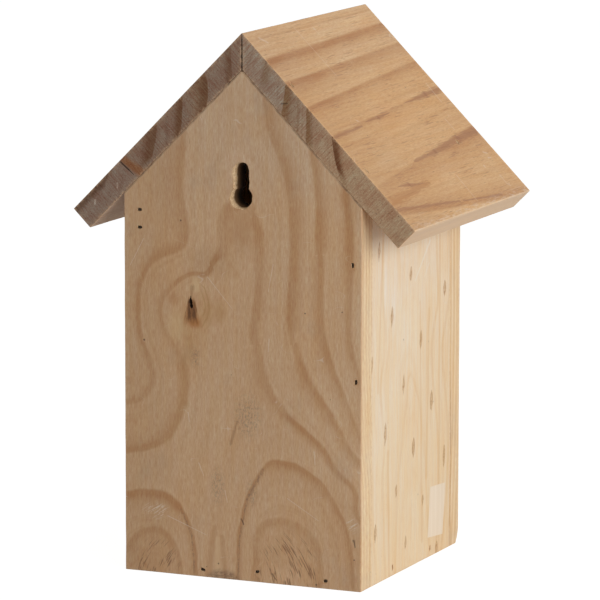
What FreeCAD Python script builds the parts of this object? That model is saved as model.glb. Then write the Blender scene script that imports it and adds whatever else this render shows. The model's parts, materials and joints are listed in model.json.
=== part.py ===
import FreeCAD, Part
import math
import os

# Wooden nest box with a pitched roof, built from planks of one thickness and pinned with brads.
# The front faces -Y and the back faces +Y. Left and right are as seen from the front, so the
# fixed side is at -X and the swinging cleaning door at +X. Sizes are in millimetres.

Vector = FreeCAD.Vector

# Planks
board = 12.0                    # thickness of every plank
box_width = 120.0               # outer width of the front and back boards
box_depth = 120.0               # front face to back face
gable_apex = 239.0              # height of the front and back boards at their point
roof_pitch = 45.0               # degrees from level
roof_plank = 122.0              # roof board from ridge to eave, along its upper face
front_overhang = 24.0           # roof in front of the front board
mitre_gap = 0.5                 # open joint left between the roof boards at the ridge
toe_height = 9.0                # rounding on the lower front arris of the front board
toe_depth = 3.5

# Keyhole in the back board, for hanging on a screw
head_hole = 10.0                # round hole that passes the screw head
slot_width = 6.8                # slot that drops over the screw shank
slot_rise = 12.7                # from the round hole's centre to the slot's end centre
keyhole_drop = 59.0             # from the gable's point down to the round hole's centre

# Entrance hole in the front board
entrance_hole = 32.0
entrance_drop = 79.0            # from the gable's point down to its centre

# Swinging door
door_end_gap = 0.5              # between the door's edges and the front and back boards
door_top_gap = 2.0              # below the roof, measured upright
door_foot_gap = 1.0             # above the ground
door_stop_gap = 0.3             # between the door's inner face and the floor
pivot_drop = 16.0               # from the top of the wall down to the pivot nails
pivot_inset = 7.8               # from the door's outer face to the pivot nails
pivot_clearance = 0.05          # radial play of the door on its nails
nail_diameter = 1.8
nail_head = 2.3
nail_head_length = 1.2
nail_length = 26.0
nail_point = 2.4
nail_hole_spare = 1.0           # blind hole beyond the nail's point

# Square-bend hook that holds the door shut
hook_wire = 2.4
hook_bend = 2.6                 # bend radius on the wire's centre line
hook_arm = 17.0                 # from the shank's axis to the tip
hook_shank = 14.0               # length in the wood
hook_height = 26.0
hook_clearance = 0.05           # radial play of the shank in its hole

# Brads, with a T section, driven below the surface
brad_length = 25.0
brad_head = 2.1
brad_head_length = 0.7
brad_shank = 1.3
brad_thickness = 1.3
brad_point = 1.6
brad_sink = 0.8
short_brad_length = 9.0         # one brad above the rear pivot ends inside the back board
short_brad_rise = 8.3           # its height above the pivot
edge_brad_insets = (4.6, 2.8)   # from the outer face of the side board, upper brad first
edge_brad_drops = (27.0, 81.0)  # from the top of the wall
floor_brad_heights = (3.6, 4.8, 3.4)    # in the back board, one for each place
front_brad_height = 7.0         # in the front board, clear of the rounded toe
side_brad_height = 4.1
floor_brad_shares = (0.06, 0.42, 0.71)  # places along the floor's width
side_brad_shares = (0.27, 0.75)         # places along the floor's depth
roof_brad_places = (33.0, 85.6)         # from the ridge, along the slope
roof_brad_inset = 4.0           # from the rear face of the back board
cut_margin = 2.0                # how far a cutter reaches past the surface

# Worked out from the sizes above
pitch = math.radians(roof_pitch)
half_width = box_width / 2
wall_top = gable_apex - half_width * math.tan(pitch)
inner_half = half_width - board
roof_length = box_depth + front_overhang
back_face = roof_length / 2
back_inner = back_face - board
front_face = back_face - box_depth
front_inner = front_face + board
ridge_height = gable_apex + board / math.cos(pitch)
keyhole_height = gable_apex - keyhole_drop
entrance_height = gable_apex - entrance_drop
pivot_x = half_width - pivot_inset
pivot_height = wall_top - pivot_drop
hook_y = front_face + board / 2
floor_width = box_width - 2 * board
floor_depth = box_depth - 2 * board
LEFT = -1
RIGHT = 1


def roof_underside(x):
    """Height of the roof's underside at a distance x from the middle plane."""
    return gable_apex - abs(x) * math.tan(pitch)


def plate(points, y_low, y_high):
    """Upright plate with the given (x, z) outline, from y_low to y_high."""
    corners = [Vector(x, y_low, z) for x, z in points]
    outline = Part.makePolygon(corners + corners[:1])
    return Part.Face(outline).extrude(Vector(0, y_high - y_low, 0))


def gable_outline():
    """Outline of the front and back boards, in x and z."""
    foot = [(-half_width, 0), (half_width, 0)]
    return foot + [(half_width, wall_top), (0, gable_apex), (-half_width, wall_top)]


def keyhole_cutter():
    """Round hole with a slot above it, as one outline of arcs and lines."""
    radius = head_hole / 2
    half_slot = slot_width / 2
    meet = keyhole_height + math.sqrt(radius ** 2 - half_slot ** 2)
    slot_end = keyhole_height + slot_rise
    y = back_inner - cut_margin
    right_low = Vector(half_slot, y, meet)
    right_high = Vector(half_slot, y, slot_end)
    left_high = Vector(-half_slot, y, slot_end)
    left_low = Vector(-half_slot, y, meet)
    slot_crown = Vector(0, y, slot_end + half_slot)
    hole_bottom = Vector(0, y, keyhole_height - radius)
    edges = [
        Part.LineSegment(right_low, right_high).toShape(),
        Part.Arc(right_high, slot_crown, left_high).toShape(),
        Part.LineSegment(left_high, left_low).toShape(),
        Part.Arc(left_low, hole_bottom, right_low).toShape(),
    ]
    return Part.Face(Part.Wire(edges)).extrude(Vector(0, board + 2 * cut_margin, 0))


def toe_cutter():
    """Sliver outside the lower front arris of the front board, rounded by an arc tangent to its face."""
    x = -half_width - cut_margin
    radius = (toe_depth ** 2 + toe_height ** 2) / (2 * toe_depth)
    half_turn = math.asin(toe_height / radius) / 2
    start = Vector(x, front_face, toe_height)
    end = Vector(x, front_face + toe_depth, 0)
    middle = start + Vector(0, radius * (1 - math.cos(half_turn)), -radius * math.sin(half_turn))
    below = Vector(x, front_face + toe_depth, -cut_margin)
    outside_low = Vector(x, front_face - cut_margin, -cut_margin)
    outside_high = Vector(x, front_face - cut_margin, toe_height)
    corners = [end, below, outside_low, outside_high, start]
    edges = [Part.Arc(start, middle, end).toShape()]
    edges += [Part.LineSegment(a, b).toShape() for a, b in zip(corners, corners[1:])]
    return Part.Face(Part.Wire(edges)).extrude(Vector(box_width + 2 * cut_margin, 0, 0))


def seated(shape, origin, inward, across):
    """Put a fastener drawn along +Z from the surface at the origin into its place."""
    shape.Placement = FreeCAD.Placement(origin, FreeCAD.Rotation(across, Vector(), inward, "ZXY"))
    return shape


def brad_profile(length, mouth):
    """Half-width and depth pairs of a brad, head first. The mouth is the head's upper end."""
    neck = brad_sink + brad_head_length
    tip = brad_sink + length
    head = brad_head / 2
    shank = brad_shank / 2
    right = [(head, mouth), (head, neck), (shank, neck), (shank, tip - brad_point)]
    left = [(-half, depth) for half, depth in reversed(right)]
    return right + [(0, tip)] + left


def brad(origin, inward, across, length=brad_length, mouth=brad_sink):
    """One brad, or with a mouth above the surface the hole that it makes."""
    half = brad_thickness / 2
    corners = [Vector(x, -half, depth) for x, depth in brad_profile(length, mouth)]
    outline = Part.makePolygon(corners + corners[:1])
    return seated(Part.Face(outline).extrude(Vector(0, brad_thickness, 0)), origin, inward, across)


def brad_hole(origin, inward, across, length=brad_length):
    return brad(origin, inward, across, length, -cut_margin)


def nail(origin, inward, across, mouth=brad_sink, spare=0.0, play=0.0):
    """Round nail with a small lost head, or the hole that it needs."""
    neck = brad_sink + nail_head_length
    tip = brad_sink + nail_length + spare
    head = nail_head / 2 + play
    shank = nail_diameter / 2 + play
    body = [(head, mouth), (head, neck), (shank, neck), (shank, tip - nail_point)]
    profile = [(0, mouth)] + body + [(0, tip)]
    corners = [Vector(x, 0, depth) for x, depth in profile]
    face = Part.Face(Part.makePolygon(corners + corners[:1]))
    return seated(face.revolve(Vector(), Vector(0, 0, 1), 360), origin, inward, across)


def into_side(y_face, inward):
    """Brads through the back or front board into the edge of the fixed side."""
    upright = Vector(0, 0, 1)
    places = [(inset - half_width, wall_top - drop) for inset, drop in zip(edge_brad_insets, edge_brad_drops)]
    return [(Vector(x, y_face, z), inward, upright) for x, z in places]


def into_floor(y_face, inward, heights):
    """Brads through the back or front board into the edge of the floor."""
    places = [share * floor_width - inner_half for share in floor_brad_shares]
    return [(Vector(x, y_face, z), inward, Vector(1, 0, 0)) for x, z in zip(places, heights)]


def side_to_floor():
    """Brads through the fixed side into the edge of the floor."""
    places = [back_inner - share * floor_depth for share in side_brad_shares]
    inward = Vector(1, 0, 0)
    upright = Vector(0, 0, 1)
    return [(Vector(-half_width, y, side_brad_height), inward, upright) for y in places]


def roof_to_gable(side, y):
    """Brads through one roof board into the sloping edge of a gable."""
    down = Vector(side * math.cos(pitch), 0, -math.sin(pitch))
    inward = Vector(-side * math.sin(pitch), 0, -math.cos(pitch))
    ridge = Vector(0, y, ridge_height)
    return [(ridge + down * place, inward, down) for place in roof_brad_places]


def short_brad_seat():
    place = Vector(pivot_x, back_face, pivot_height + short_brad_rise)
    return (place, Vector(0, -1, 0), Vector(1, 0, 0), short_brad_length)


def pivot_seat(y_face, inward):
    return (Vector(pivot_x, y_face, pivot_height), inward, Vector(1, 0, 0))


def brad_groups():
    """Every set of brads by the two pieces that it joins."""
    rear = back_face - roof_brad_inset
    front = front_face + board / 2
    forward = Vector(0, -1, 0)
    rearward = Vector(0, 1, 0)
    front_heights = [front_brad_height] * len(floor_brad_shares)
    return {
        "brads_back_to_side": into_side(back_face, forward),
        "brads_back_to_floor": into_floor(back_face, forward, floor_brad_heights),
        "brads_front_to_side": into_side(front_face, rearward),
        "brads_front_to_floor": into_floor(front_face, rearward, front_heights),
        "brads_side_to_floor": side_to_floor(),
        "brads_left_roof_to_back": roof_to_gable(LEFT, rear),
        "brads_left_roof_to_front": roof_to_gable(LEFT, front),
        "brads_right_roof_to_back": roof_to_gable(RIGHT, rear),
        "brads_right_roof_to_front": roof_to_gable(RIGHT, front),
        "brad_short": [short_brad_seat()],
    }


def holes(groups, *names):
    return [brad_hole(*seat) for name in names for seat in groups[name]]


def nail_hole(seat, play=0.0):
    spare = nail_hole_spare if play else 0.0
    return nail(*seat, mouth=-cut_margin, spare=spare, play=play)


def back_board(groups, seat):
    body = plate(gable_outline(), back_inner, back_face)
    cutters = holes(groups, "brads_back_to_side", "brads_back_to_floor", "brad_short",
                    "brads_left_roof_to_back", "brads_right_roof_to_back")
    return body.cut(cutters + [keyhole_cutter(), nail_hole(seat)])


def front_board(groups, seat):
    body = plate(gable_outline(), front_face, front_inner)
    doorway = Part.makeCylinder(entrance_hole / 2, board + 2 * cut_margin,
                                Vector(0, front_face - cut_margin, entrance_height), Vector(0, 1, 0))
    socket = Part.makeCylinder(hook_wire / 2 + hook_clearance, hook_shank + nail_hole_spare + cut_margin,
                               Vector(half_width + cut_margin, hook_y, hook_height), Vector(-1, 0, 0))
    cutters = holes(groups, "brads_front_to_side", "brads_front_to_floor",
                    "brads_left_roof_to_front", "brads_right_roof_to_front")
    return body.cut(cutters + [toe_cutter(), doorway, socket, nail_hole(seat)])


def fixed_side(groups):
    foot = [(-half_width, 0), (-inner_half, 0)]
    bevel = [(-inner_half, roof_underside(inner_half)), (-half_width, wall_top)]
    body = plate(foot + bevel, front_inner, back_inner)
    return body.cut(holes(groups, "brads_back_to_side", "brads_front_to_side", "brads_side_to_floor"))


def swinging_door(rear_seat, front_seat):
    foot = [(inner_half, door_foot_gap), (half_width, door_foot_gap)]
    bevel = [(half_width, wall_top - door_top_gap), (inner_half, roof_underside(inner_half) - door_top_gap)]
    body = plate(foot + bevel, front_inner + door_end_gap, back_inner - door_end_gap)
    return body.cut([nail_hole(seat, pivot_clearance) for seat in (rear_seat, front_seat)])


def floor_board(groups):
    door_edge = inner_half - door_stop_gap
    outline = [(-inner_half, 0), (door_edge, 0), (door_edge, board), (-inner_half, board)]
    body = plate(outline, front_inner, back_inner)
    return body.cut(holes(groups, "brads_back_to_floor", "brads_front_to_floor", "brads_side_to_floor"))


def roof_board(side, groups, word):
    """Sloping plank, mitred upright at the ridge and cut square at the eave."""
    eave_x = roof_plank * math.cos(pitch)
    eave_z = ridge_height - roof_plank * math.sin(pitch)
    mitre = mitre_gap / 2
    fall = mitre * math.tan(pitch)
    upper = [(mitre, ridge_height - fall), (eave_x, eave_z)]
    lower = [(eave_x - board * math.sin(pitch), eave_z - board * math.cos(pitch)), (mitre, gable_apex - fall)]
    body = plate([(side * x, z) for x, z in upper + lower], back_face - roof_length, back_face)
    gables = [f"brads_{word}_roof_to_{gable}" for gable in ("back", "front")]
    return body.cut(holes(groups, *gables))


def door_hook():
    """Wire hook: a shank in the edge of the front board and an arm that hangs down when released."""
    inner_end = Vector(half_width - hook_shank, hook_y, hook_height)
    bend_start = Vector(half_width, hook_y, hook_height)
    bend_end = Vector(half_width + hook_bend, hook_y, hook_height - hook_bend)
    corner = hook_bend * math.sqrt(0.5)
    bend_middle = Vector(half_width + corner, hook_y, hook_height - hook_bend + corner)
    tip = Vector(half_width + hook_bend, hook_y, hook_height - hook_arm)
    path = Part.Wire([
        Part.LineSegment(inner_end, bend_start).toShape(),
        Part.Arc(bend_start, bend_middle, bend_end).toShape(),
        Part.LineSegment(bend_end, tip).toShape(),
    ])
    section = Part.Wire([Part.Circle(inner_end, Vector(1, 0, 0), hook_wire / 2).toShape()])
    return path.makePipeShell([section], True, False)


def build():
    groups = brad_groups()
    rear_seat = pivot_seat(back_face, Vector(0, -1, 0))
    front_seat = pivot_seat(front_face, Vector(0, 1, 0))
    nodes = {
        "back_board": back_board(groups, rear_seat),
        "front_board": front_board(groups, front_seat),
        "left_side": fixed_side(groups),
        "right_side_door": swinging_door(rear_seat, front_seat),
        "floor_board": floor_board(groups),
        "left_roof_board": roof_board(LEFT, groups, "left"),
        "right_roof_board": roof_board(RIGHT, groups, "right"),
        "pivot_nail_rear": nail(*rear_seat),
        "pivot_nail_front": nail(*front_seat),
        "door_hook": door_hook(),
    }
    for name, seats in groups.items():
        nodes[name] = Part.makeCompound([brad(*seat) for seat in seats])
    return nodes


def main():
    os.makedirs("parts", exist_ok=True)
    for name, shape in build().items():
        print(name, "solids", len(shape.Solids), "valid", shape.isValid(), "volume", round(shape.Volume, 2))
        shape.exportStep(os.path.join("parts", name + ".step"))


main()
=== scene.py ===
# %% [markdown]
# A nest box of pinned pine planks.
# The real object is a small bird house seen from behind: seven planks, a few sunk brads, two nails
# that a cleaning door swings on, and a wire hook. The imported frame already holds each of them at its
# real size and place, so this lesson never moves anything. It measures the frame, grows a finer plank
# in the place of each plain one, and finishes the wood and the steel with procedural nodes.

# %% Load the frame and keep its box
import json
import math
import bmesh
import bpy
import numpy as np
from mathutils import Matrix, Vector


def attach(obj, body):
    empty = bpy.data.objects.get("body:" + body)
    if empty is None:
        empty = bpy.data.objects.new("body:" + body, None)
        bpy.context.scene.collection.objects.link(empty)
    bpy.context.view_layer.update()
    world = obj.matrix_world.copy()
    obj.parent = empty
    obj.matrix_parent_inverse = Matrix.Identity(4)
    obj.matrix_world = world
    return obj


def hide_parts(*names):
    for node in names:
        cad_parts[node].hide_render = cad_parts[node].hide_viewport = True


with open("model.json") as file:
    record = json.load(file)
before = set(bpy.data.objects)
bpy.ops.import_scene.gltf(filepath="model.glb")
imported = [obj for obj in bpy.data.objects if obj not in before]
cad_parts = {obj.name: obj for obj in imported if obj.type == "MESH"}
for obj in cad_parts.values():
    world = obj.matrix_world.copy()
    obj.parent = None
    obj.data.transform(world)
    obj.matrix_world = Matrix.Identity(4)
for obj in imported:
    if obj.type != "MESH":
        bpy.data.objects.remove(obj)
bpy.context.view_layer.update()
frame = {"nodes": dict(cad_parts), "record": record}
MM = 0.001

# %% [markdown]
# Sizes come from the frame.
# A plank that is drawn again has to lie exactly where its solid lies. Typing the sizes a second time
# would work until someone changes the box, so every length below is read from the solids: board
# thickness, roof slope, door gaps and the rounded toe of the front board.

# %% Measure the planks
X, Y, Z = 0, 1, 2
TOLERANCE = 0.01


def points_of(node):
    """Corner points of a CAD node, in millimetres."""
    return np.array([v.co for v in frame["nodes"][node].data.vertices]) / MM


def stacked(*columns):
    """Rows of points from their columns. A plain number is the same in every row."""
    return np.column_stack(np.broadcast_arrays(*columns))


def lowest(node):
    return points_of(node).min(axis=0)


def highest(node):
    return points_of(node).max(axis=0)


def reach_at(node, axis, place, measured):
    """Highest value along one axis among a node's points at a given place on another axis."""
    points = points_of(node)
    there = points[np.abs(points[:, axis] - place) < TOLERANCE]
    return there[:, measured].max()


HALF_WIDTH = highest("back_board")[X]
APEX = highest("back_board")[Z]
BACK_FACE = highest("back_board")[Y]
BACK_INNER = lowest("back_board")[Y]
FRONT_FACE = lowest("front_board")[Y]
FRONT_INNER = highest("front_board")[Y]
BOARD = BACK_FACE - BACK_INNER
WALL_TOP = reach_at("left_side", X, -HALF_WIDTH, Z)
SLOPE = (APEX - WALL_TOP) / HALF_WIDTH
PITCH = math.atan(SLOPE)
MITRE = lowest("right_roof_board")[X]
RIDGE = highest("right_roof_board")[Z] + MITRE * SLOPE
ROOF_RUN = highest("right_roof_board")[X] / math.cos(PITCH)
ROOF_LENGTH = highest("left_roof_board")[Y] - lowest("left_roof_board")[Y]
DOOR_FOOT = lowest("right_side_door")[Z]
DOOR_DROP = WALL_TOP - reach_at("right_side_door", X, HALF_WIDTH, Z)
front_points = points_of("front_board")
TOE_HEIGHT = front_points[np.abs(front_points[:, Y] - FRONT_FACE) < TOLERANCE][:, Z].min()
TOE_DEPTH = front_points[front_points[:, Z] < TOLERANCE][:, Y].min() - FRONT_FACE
print("board", round(BOARD, 2), "wall top", round(WALL_TOP, 2), "roof run", round(ROOF_RUN, 2),
      "mitre", round(MITRE, 2), "door foot", round(DOOR_FOOT, 2), "door drop", round(DOOR_DROP, 2),
      "toe", round(TOE_HEIGHT, 2), round(TOE_DEPTH, 2))

# %% [markdown]
# The camera.
# The photograph looks down a little at the rear left corner from about two metres, through a long
# lens, so the edges hardly converge. A camera can be aimed with a tracking constraint, but a small
# roll of the picture needs the full rotation, so its three axes are written out as a matrix.

# %% Place the camera
CAMERA_PLACE = (-0.8980, 2.0407, 0.4909)
CAMERA_YAW = math.radians(23.810)
CAMERA_DIP = math.radians(9.408)
CAMERA_ROLL = math.radians(0.090)
LENS = 285.6
SENSOR = 36.0


def camera_axes(yaw, dip, roll):
    """Right, up and backward directions of a camera that looks forward along -Y, as a matrix."""
    ahead = Vector((math.sin(yaw) * math.cos(dip), -math.cos(yaw) * math.cos(dip), -math.sin(dip)))
    right = Vector((-math.cos(yaw), -math.sin(yaw), 0))
    up = right.cross(ahead)
    rolled_right = math.cos(roll) * right + math.sin(roll) * up
    rolled_up = math.cos(roll) * up - math.sin(roll) * right
    return Matrix((rolled_right, rolled_up, -ahead)).transposed()


def into_scene(made):
    bpy.context.scene.collection.objects.link(made)


camera_data = bpy.data.cameras.new("camera")
camera_data.lens = LENS
camera_data.sensor_fit = "HORIZONTAL"
camera_data.sensor_width = SENSOR
camera = bpy.data.objects.new("camera", camera_data)
facing = camera_axes(CAMERA_YAW, CAMERA_DIP, CAMERA_ROLL).to_4x4()
camera.matrix_world = Matrix.Translation(CAMERA_PLACE) @ facing
into_scene(camera)
bpy.context.scene.camera = camera
bpy.context.scene.view_settings.view_transform = "Standard"
print("camera at", CAMERA_PLACE, "lens", LENS)

# %% [markdown]
# Helpers for node trees.
# A node tree written socket by socket is hard to read. These small helpers keep the recipes below
# short: one sets or links an input, one adds a node with its settings, and the others stand for one
# kind of node each. A socket knows the tree that it belongs to, so a recipe need not pass it on.

# %% Node helpers
def feed(socket, value):
    """Link an input to another socket, or set it to a plain value. Colours are red, green and blue."""
    if isinstance(value, bpy.types.NodeSocket):
        socket.id_data.links.new(value, socket)
    elif socket.type == "RGBA":
        socket.default_value = (*value, 1)
    else:
        socket.default_value = value


def add(tree, kind, inputs=None, **settings):
    """New shader node with its settings, and its inputs by name or number."""
    made = tree.nodes.new("ShaderNode" + kind)
    for name, value in settings.items():
        setattr(made, name, value)
    for name, value in (inputs or {}).items():
        feed(made.inputs[name], value)
    return made


def tree_of(values):
    """The node tree of the first socket among some values."""
    return next(value.id_data for value in values if isinstance(value, bpy.types.NodeSocket))


def sums(operation, *values, clamp=False):
    """One arithmetic step on sockets and numbers."""
    inputs = dict(enumerate(values))
    return add(tree_of(values), "Math", inputs, operation=operation, use_clamp=clamp).outputs[0]


def times(first, second):
    return sums("MULTIPLY", first, second)


def times_plus(first, second, more):
    return sums("MULTIPLY_ADD", first, second, more)


def minus(first, second):
    return sums("SUBTRACT", first, second)


def vectors(operation, *values):
    """One arithmetic step on vectors. Products, lengths and distances come out as numbers."""
    inputs = dict(enumerate(values))
    made = add(tree_of(values), "VectorMath", inputs, operation=operation).outputs
    return made["Value"] if operation in ("DOT_PRODUCT", "LENGTH", "DISTANCE") else made[0]


def parts(vector):
    """The three parts of a vector: for grain, the place across, along and in depth."""
    return add(tree_of([vector]), "SeparateXYZ", {0: vector}).outputs


def joined(*values):
    """A vector from its parts."""
    return add(tree_of(values), "CombineXYZ", dict(enumerate(values))).outputs[0]


def ramp(value, low, high, to_low=0.0, to_high=1.0):
    """Smooth step of a value between two limits."""
    inputs = {"Value": value, "From Min": low, "From Max": high, "To Min": to_low, "To Max": to_high}
    made = add(tree_of([value]), "MapRange", inputs, interpolation_type="SMOOTHSTEP")
    return made.outputs[0]


def speckle(vector, factors=None, detail=3.0, roughness=0.55):
    """Noise between 0 and 1. The factors set how fine it is along each axis."""
    if factors:
        vector = vectors("MULTIPLY", vector, factors)
    inputs = {"Vector": vector, "Scale": 1.0, "Detail": detail, "Roughness": roughness}
    return add(tree_of([vector]), "TexNoise", inputs).outputs[0]


def tint(amount, under, over, mode="MIX"):
    """One colour laid over another."""
    inputs = {0: amount, 6: under, 7: over}
    made = add(tree_of(inputs.values()), "Mix", inputs, data_type="RGBA", blend_type=mode)
    return made.outputs[2]


def lay(colour, mask, strength, tone):
    """A tone laid over a colour through a mask."""
    return tint(times(mask, strength), colour, tone)


def toned(colour, mask, factors):
    """A colour multiplied by a tone's factors through a mask."""
    return tint(mask, colour, factors, "MULTIPLY")


def new_group(name, inputs, outputs):
    """Shader node group with named sockets. Returns what goes in and what comes out."""
    tree = bpy.data.node_groups.new(name, "ShaderNodeTree")
    for socket, kind, value in inputs:
        made = tree.interface.new_socket(socket, in_out="INPUT", socket_type="NodeSocket" + kind)
        if value is not None:
            made.default_value = value
    for socket, kind in outputs:
        tree.interface.new_socket(socket, in_out="OUTPUT", socket_type="NodeSocket" + kind)
    return tree.nodes.new("NodeGroupInput").outputs, tree.nodes.new("NodeGroupOutput").inputs


def use_group(name, inputs):
    """Place a node group in the tree of its inputs and return its outputs."""
    group = bpy.data.node_groups[name]
    return add(tree_of(inputs.values()), "Group", inputs, node_tree=group).outputs


print("node helpers ready")

# %% [markdown]
# Floor, world and lamps.
# The photograph has one broad soft light from the right of the picture, at about the height of the
# box, and a weaker white fill from everywhere. The background is white, which must not come from
# brighter lamps: the floor and the world show white to camera and mirror rays only, and a share of
# plain diffuse floor keeps the soft shadow. Seen from below the floor lets the view through.

# %% Build the stage
FILL = 0.42
WHITE = (1, 1, 1)
FLOOR_SIZE = 14.0
FLOOR_GLOW = 0.90
FLOOR_SHADE = 0.30
FLOOR_BOUNCE = (0.62, 0.62, 0.62)
KEY_POWER = 22.0
KEY_SIZE = 1.5
KEY_PLACE = (-1.62, 0.62, 0.34)
KEY_TARGET = (0, 0, 0.12)


def seen_directly(tree):
    """One for camera, mirror and glass rays, zero for the rays that light the object."""
    path = add(tree, "LightPath").outputs
    mirror = sums("MAXIMUM", path["Is Glossy Ray"], path["Is Transmission Ray"])
    return sums("MAXIMUM", path["Is Camera Ray"], mirror)


def white_world():
    world = bpy.data.worlds.new("white_fill")
    world.use_nodes = True
    tree = world.node_tree
    shown = seen_directly(tree)
    strength = times_plus(shown, 1.0 - FILL, FILL)
    feed(tree.nodes["Background"].inputs["Color"], WHITE)
    feed(tree.nodes["Background"].inputs["Strength"], strength)
    bpy.context.scene.world = world


def floor_material():
    material = bpy.data.materials.new("pale_floor")
    material.use_nodes = True
    tree = material.node_tree
    tree.nodes.clear()
    shown = seen_directly(tree)
    bounce = add(tree, "BsdfDiffuse", {"Color": FLOOR_BOUNCE}).outputs[0]
    shade = (FLOOR_SHADE, FLOOR_SHADE, FLOOR_SHADE)
    shadow = add(tree, "BsdfDiffuse", {"Color": shade}).outputs[0]
    glow = add(tree, "Emission", {"Strength": FLOOR_GLOW}).outputs[0]
    white = add(tree, "AddShader", {0: shadow, 1: glow}).outputs[0]
    above = add(tree, "MixShader", {0: shown, 1: bounce, 2: white}).outputs[0]
    below = add(tree, "BsdfTransparent").outputs[0]
    under = add(tree, "NewGeometry").outputs["Backfacing"]
    surface = add(tree, "MixShader", {0: under, 1: above, 2: below}).outputs[0]
    add(tree, "OutputMaterial", {"Surface": surface})
    return material


def build_floor():
    half = FLOOR_SIZE / 2
    corners = [(-half, -half, 0), (half, -half, 0), (half, half, 0), (-half, half, 0)]
    sheet = bpy.data.meshes.new("floor")
    sheet.from_pydata(corners, [], [(0, 1, 2, 3)])
    floor = bpy.data.objects.new("floor", sheet)
    sheet.materials.append(floor_material())
    into_scene(floor)


def softbox(name, place, size, power):
    lamp = bpy.data.lights.new(name, "AREA")
    lamp.size = size
    lamp.energy = power
    holder = bpy.data.objects.new(name, lamp)
    holder.location = place
    aim = Vector(KEY_TARGET) - Vector(place)
    holder.rotation_euler = aim.to_track_quat("-Z", "Y").to_euler()
    into_scene(holder)


white_world()
build_floor()
softbox("key_softbox", KEY_PLACE, KEY_SIZE, KEY_POWER)
print("fill", FILL, "key", KEY_POWER, "W")

# %% [markdown]
# Growth rings as a field.
# Sawn pine shows its growth rings as curved lines, and on a flat sawn board they bend round a knot
# and close into arches. A wave texture can't follow such lines. Here a few lines are drawn for each
# board, each with a ring number, and a thin plate spline fills in the ring number between them, as a
# map's heights follow from its contour lines. The shader then darkens each whole number.

# %% Ring fields
LOOK_REACH = 2
NUDGE = 0.4
LEAST_SLOPE = 0.004


def contour_field(lines, tilt, smooth=0.5):
    """Ring number at any grain point, from lines of (across, along) points with known numbers."""
    places = np.array([point for _, _, points in lines for point in points], float)
    levels = np.array([level for level, _, points in lines for _ in points], float)
    count = len(places)

    def bend(points):
        squares = ((points[:, None, :] - places[None]) ** 2).sum(axis=2)
        return squares * np.log(squares + 1e-9)

    system = np.zeros((count + 3, count + 3))
    system[:count, :count] = bend(places) + smooth * np.eye(count)
    system[:count, count] = 1
    system[:count, count + 1:] = places
    system[count:, :count] = system[:count, count:].T
    weights = np.linalg.solve(system, np.concatenate([levels, np.zeros(3)]))

    def level_at(grain):
        flat = grain[:, :2]
        level = bend(flat) @ weights[:count] + weights[count] + flat @ weights[count + 1:]
        return level + tilt * grain[:, 2]

    return level_at


def line_looks(lines):
    """Width, lean and strength of the ring lines at any point, blended from the drawn points."""
    drawn = [(look, point) for _, look, points in lines if look for point in points]
    looks = np.array([look for look, _ in drawn], float)
    places = np.array([point for _, point in drawn], float)

    def look_at(grain):
        squares = ((grain[:, None, :2] - places[None]) ** 2).sum(axis=2)
        weights = 1 / (squares + LOOK_REACH ** 2) ** 2
        return weights @ looks / weights.sum(axis=1, keepdims=True)

    return look_at


def drawn_figure(lines, tilt):
    """Rings of a board from hand drawn lines. Tilt is how fast they drift with depth."""
    return contour_field(lines, tilt), line_looks(lines)


def even_figure(level_at, width, lean, strength):
    """Rings from a formula, all with the same look."""
    return level_at, lambda grain: np.tile((width, lean, strength), (len(grain), 1))


def ruled_figure(lines):
    """Rings that run along a board: place at both ends, drift with depth, and look at both ends."""
    table = np.array(lines, float)

    def level_at(grain):
        across, along, depth = grain.T
        share = along / ROOF_LENGTH
        places = [start + (end - start) * share + drift * depth for start, end, drift, *_ in lines]
        level = (across - places[0]) / (places[1] - places[0])
        for number in range(1, len(places)):
            gap = places[number] - places[number - 1]
            beyond = across > places[number - 1]
            level = np.where(beyond, number - 1 + (across - places[number - 1]) / gap, level)
        return level

    def look_at(grain):
        nearest = np.clip(np.rint(level_at(grain)).astype(int), 0, len(lines) - 1)
        width, lean, rear, front = table[nearest, 3:].T
        share = np.clip(grain[:, 1] / ROOF_LENGTH, 0, 1)
        return stacked(width, lean, rear + (front - rear) * share)

    return level_at, look_at


def ring_gap(level_at, grain, normal):
    """Distance between rings along the surface at each point, in millimetres."""
    slopes = []
    for axis in range(3):
        step = np.zeros(3)
        step[axis] = NUDGE
        slopes.append((level_at(grain + step) - level_at(grain - step)) / (2 * NUDGE))
    slope = np.stack(slopes, axis=1)
    slope -= (slope * normal).sum(axis=1, keepdims=True) * normal
    return 1 / np.maximum(np.linalg.norm(slope, axis=1), LEAST_SLOPE)


print("ring fields ready")

# %% [markdown]
# A plank with eased arrises.
# A plank could be a cube with a bevel, but a bevel is too perfect: real arrises are rubbed, nicked
# and a little uneven. This helper lays a grid over all six faces of a block, close beside the edges,
# rounds each edge by a radius that wanders, and then folds the block into the plank's true outline.
# Wear only takes wood away, so the result stays inside the solid that it stands for.

# %% Block with worn edges
ARRIS = 0.55
NICK = 1.1
LEAST_RADIUS = 0.12
EDGE_SHARES = np.array([0, 0.42, 0.73, 1.0])


def wander(points, seed):
    """Smooth repeatable noise between about -1 and 1."""
    draw = np.random.default_rng(seed)
    turns = draw.normal(size=(7, 3))
    starts = draw.uniform(0, 2 * math.pi, 7)
    return 1.5 * np.sin(points @ turns.T + starts).mean(axis=1)


def grid_lines(length, step):
    """Places of the grid along one side, fine beside both edges."""
    edge = EDGE_SHARES * ARRIS
    inner = 2 * ARRIS
    count = max(1, round((length - 2 * inner) / step))
    return np.concatenate([edge, np.linspace(inner, length - inner, count + 1), length - edge[::-1]])


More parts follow.
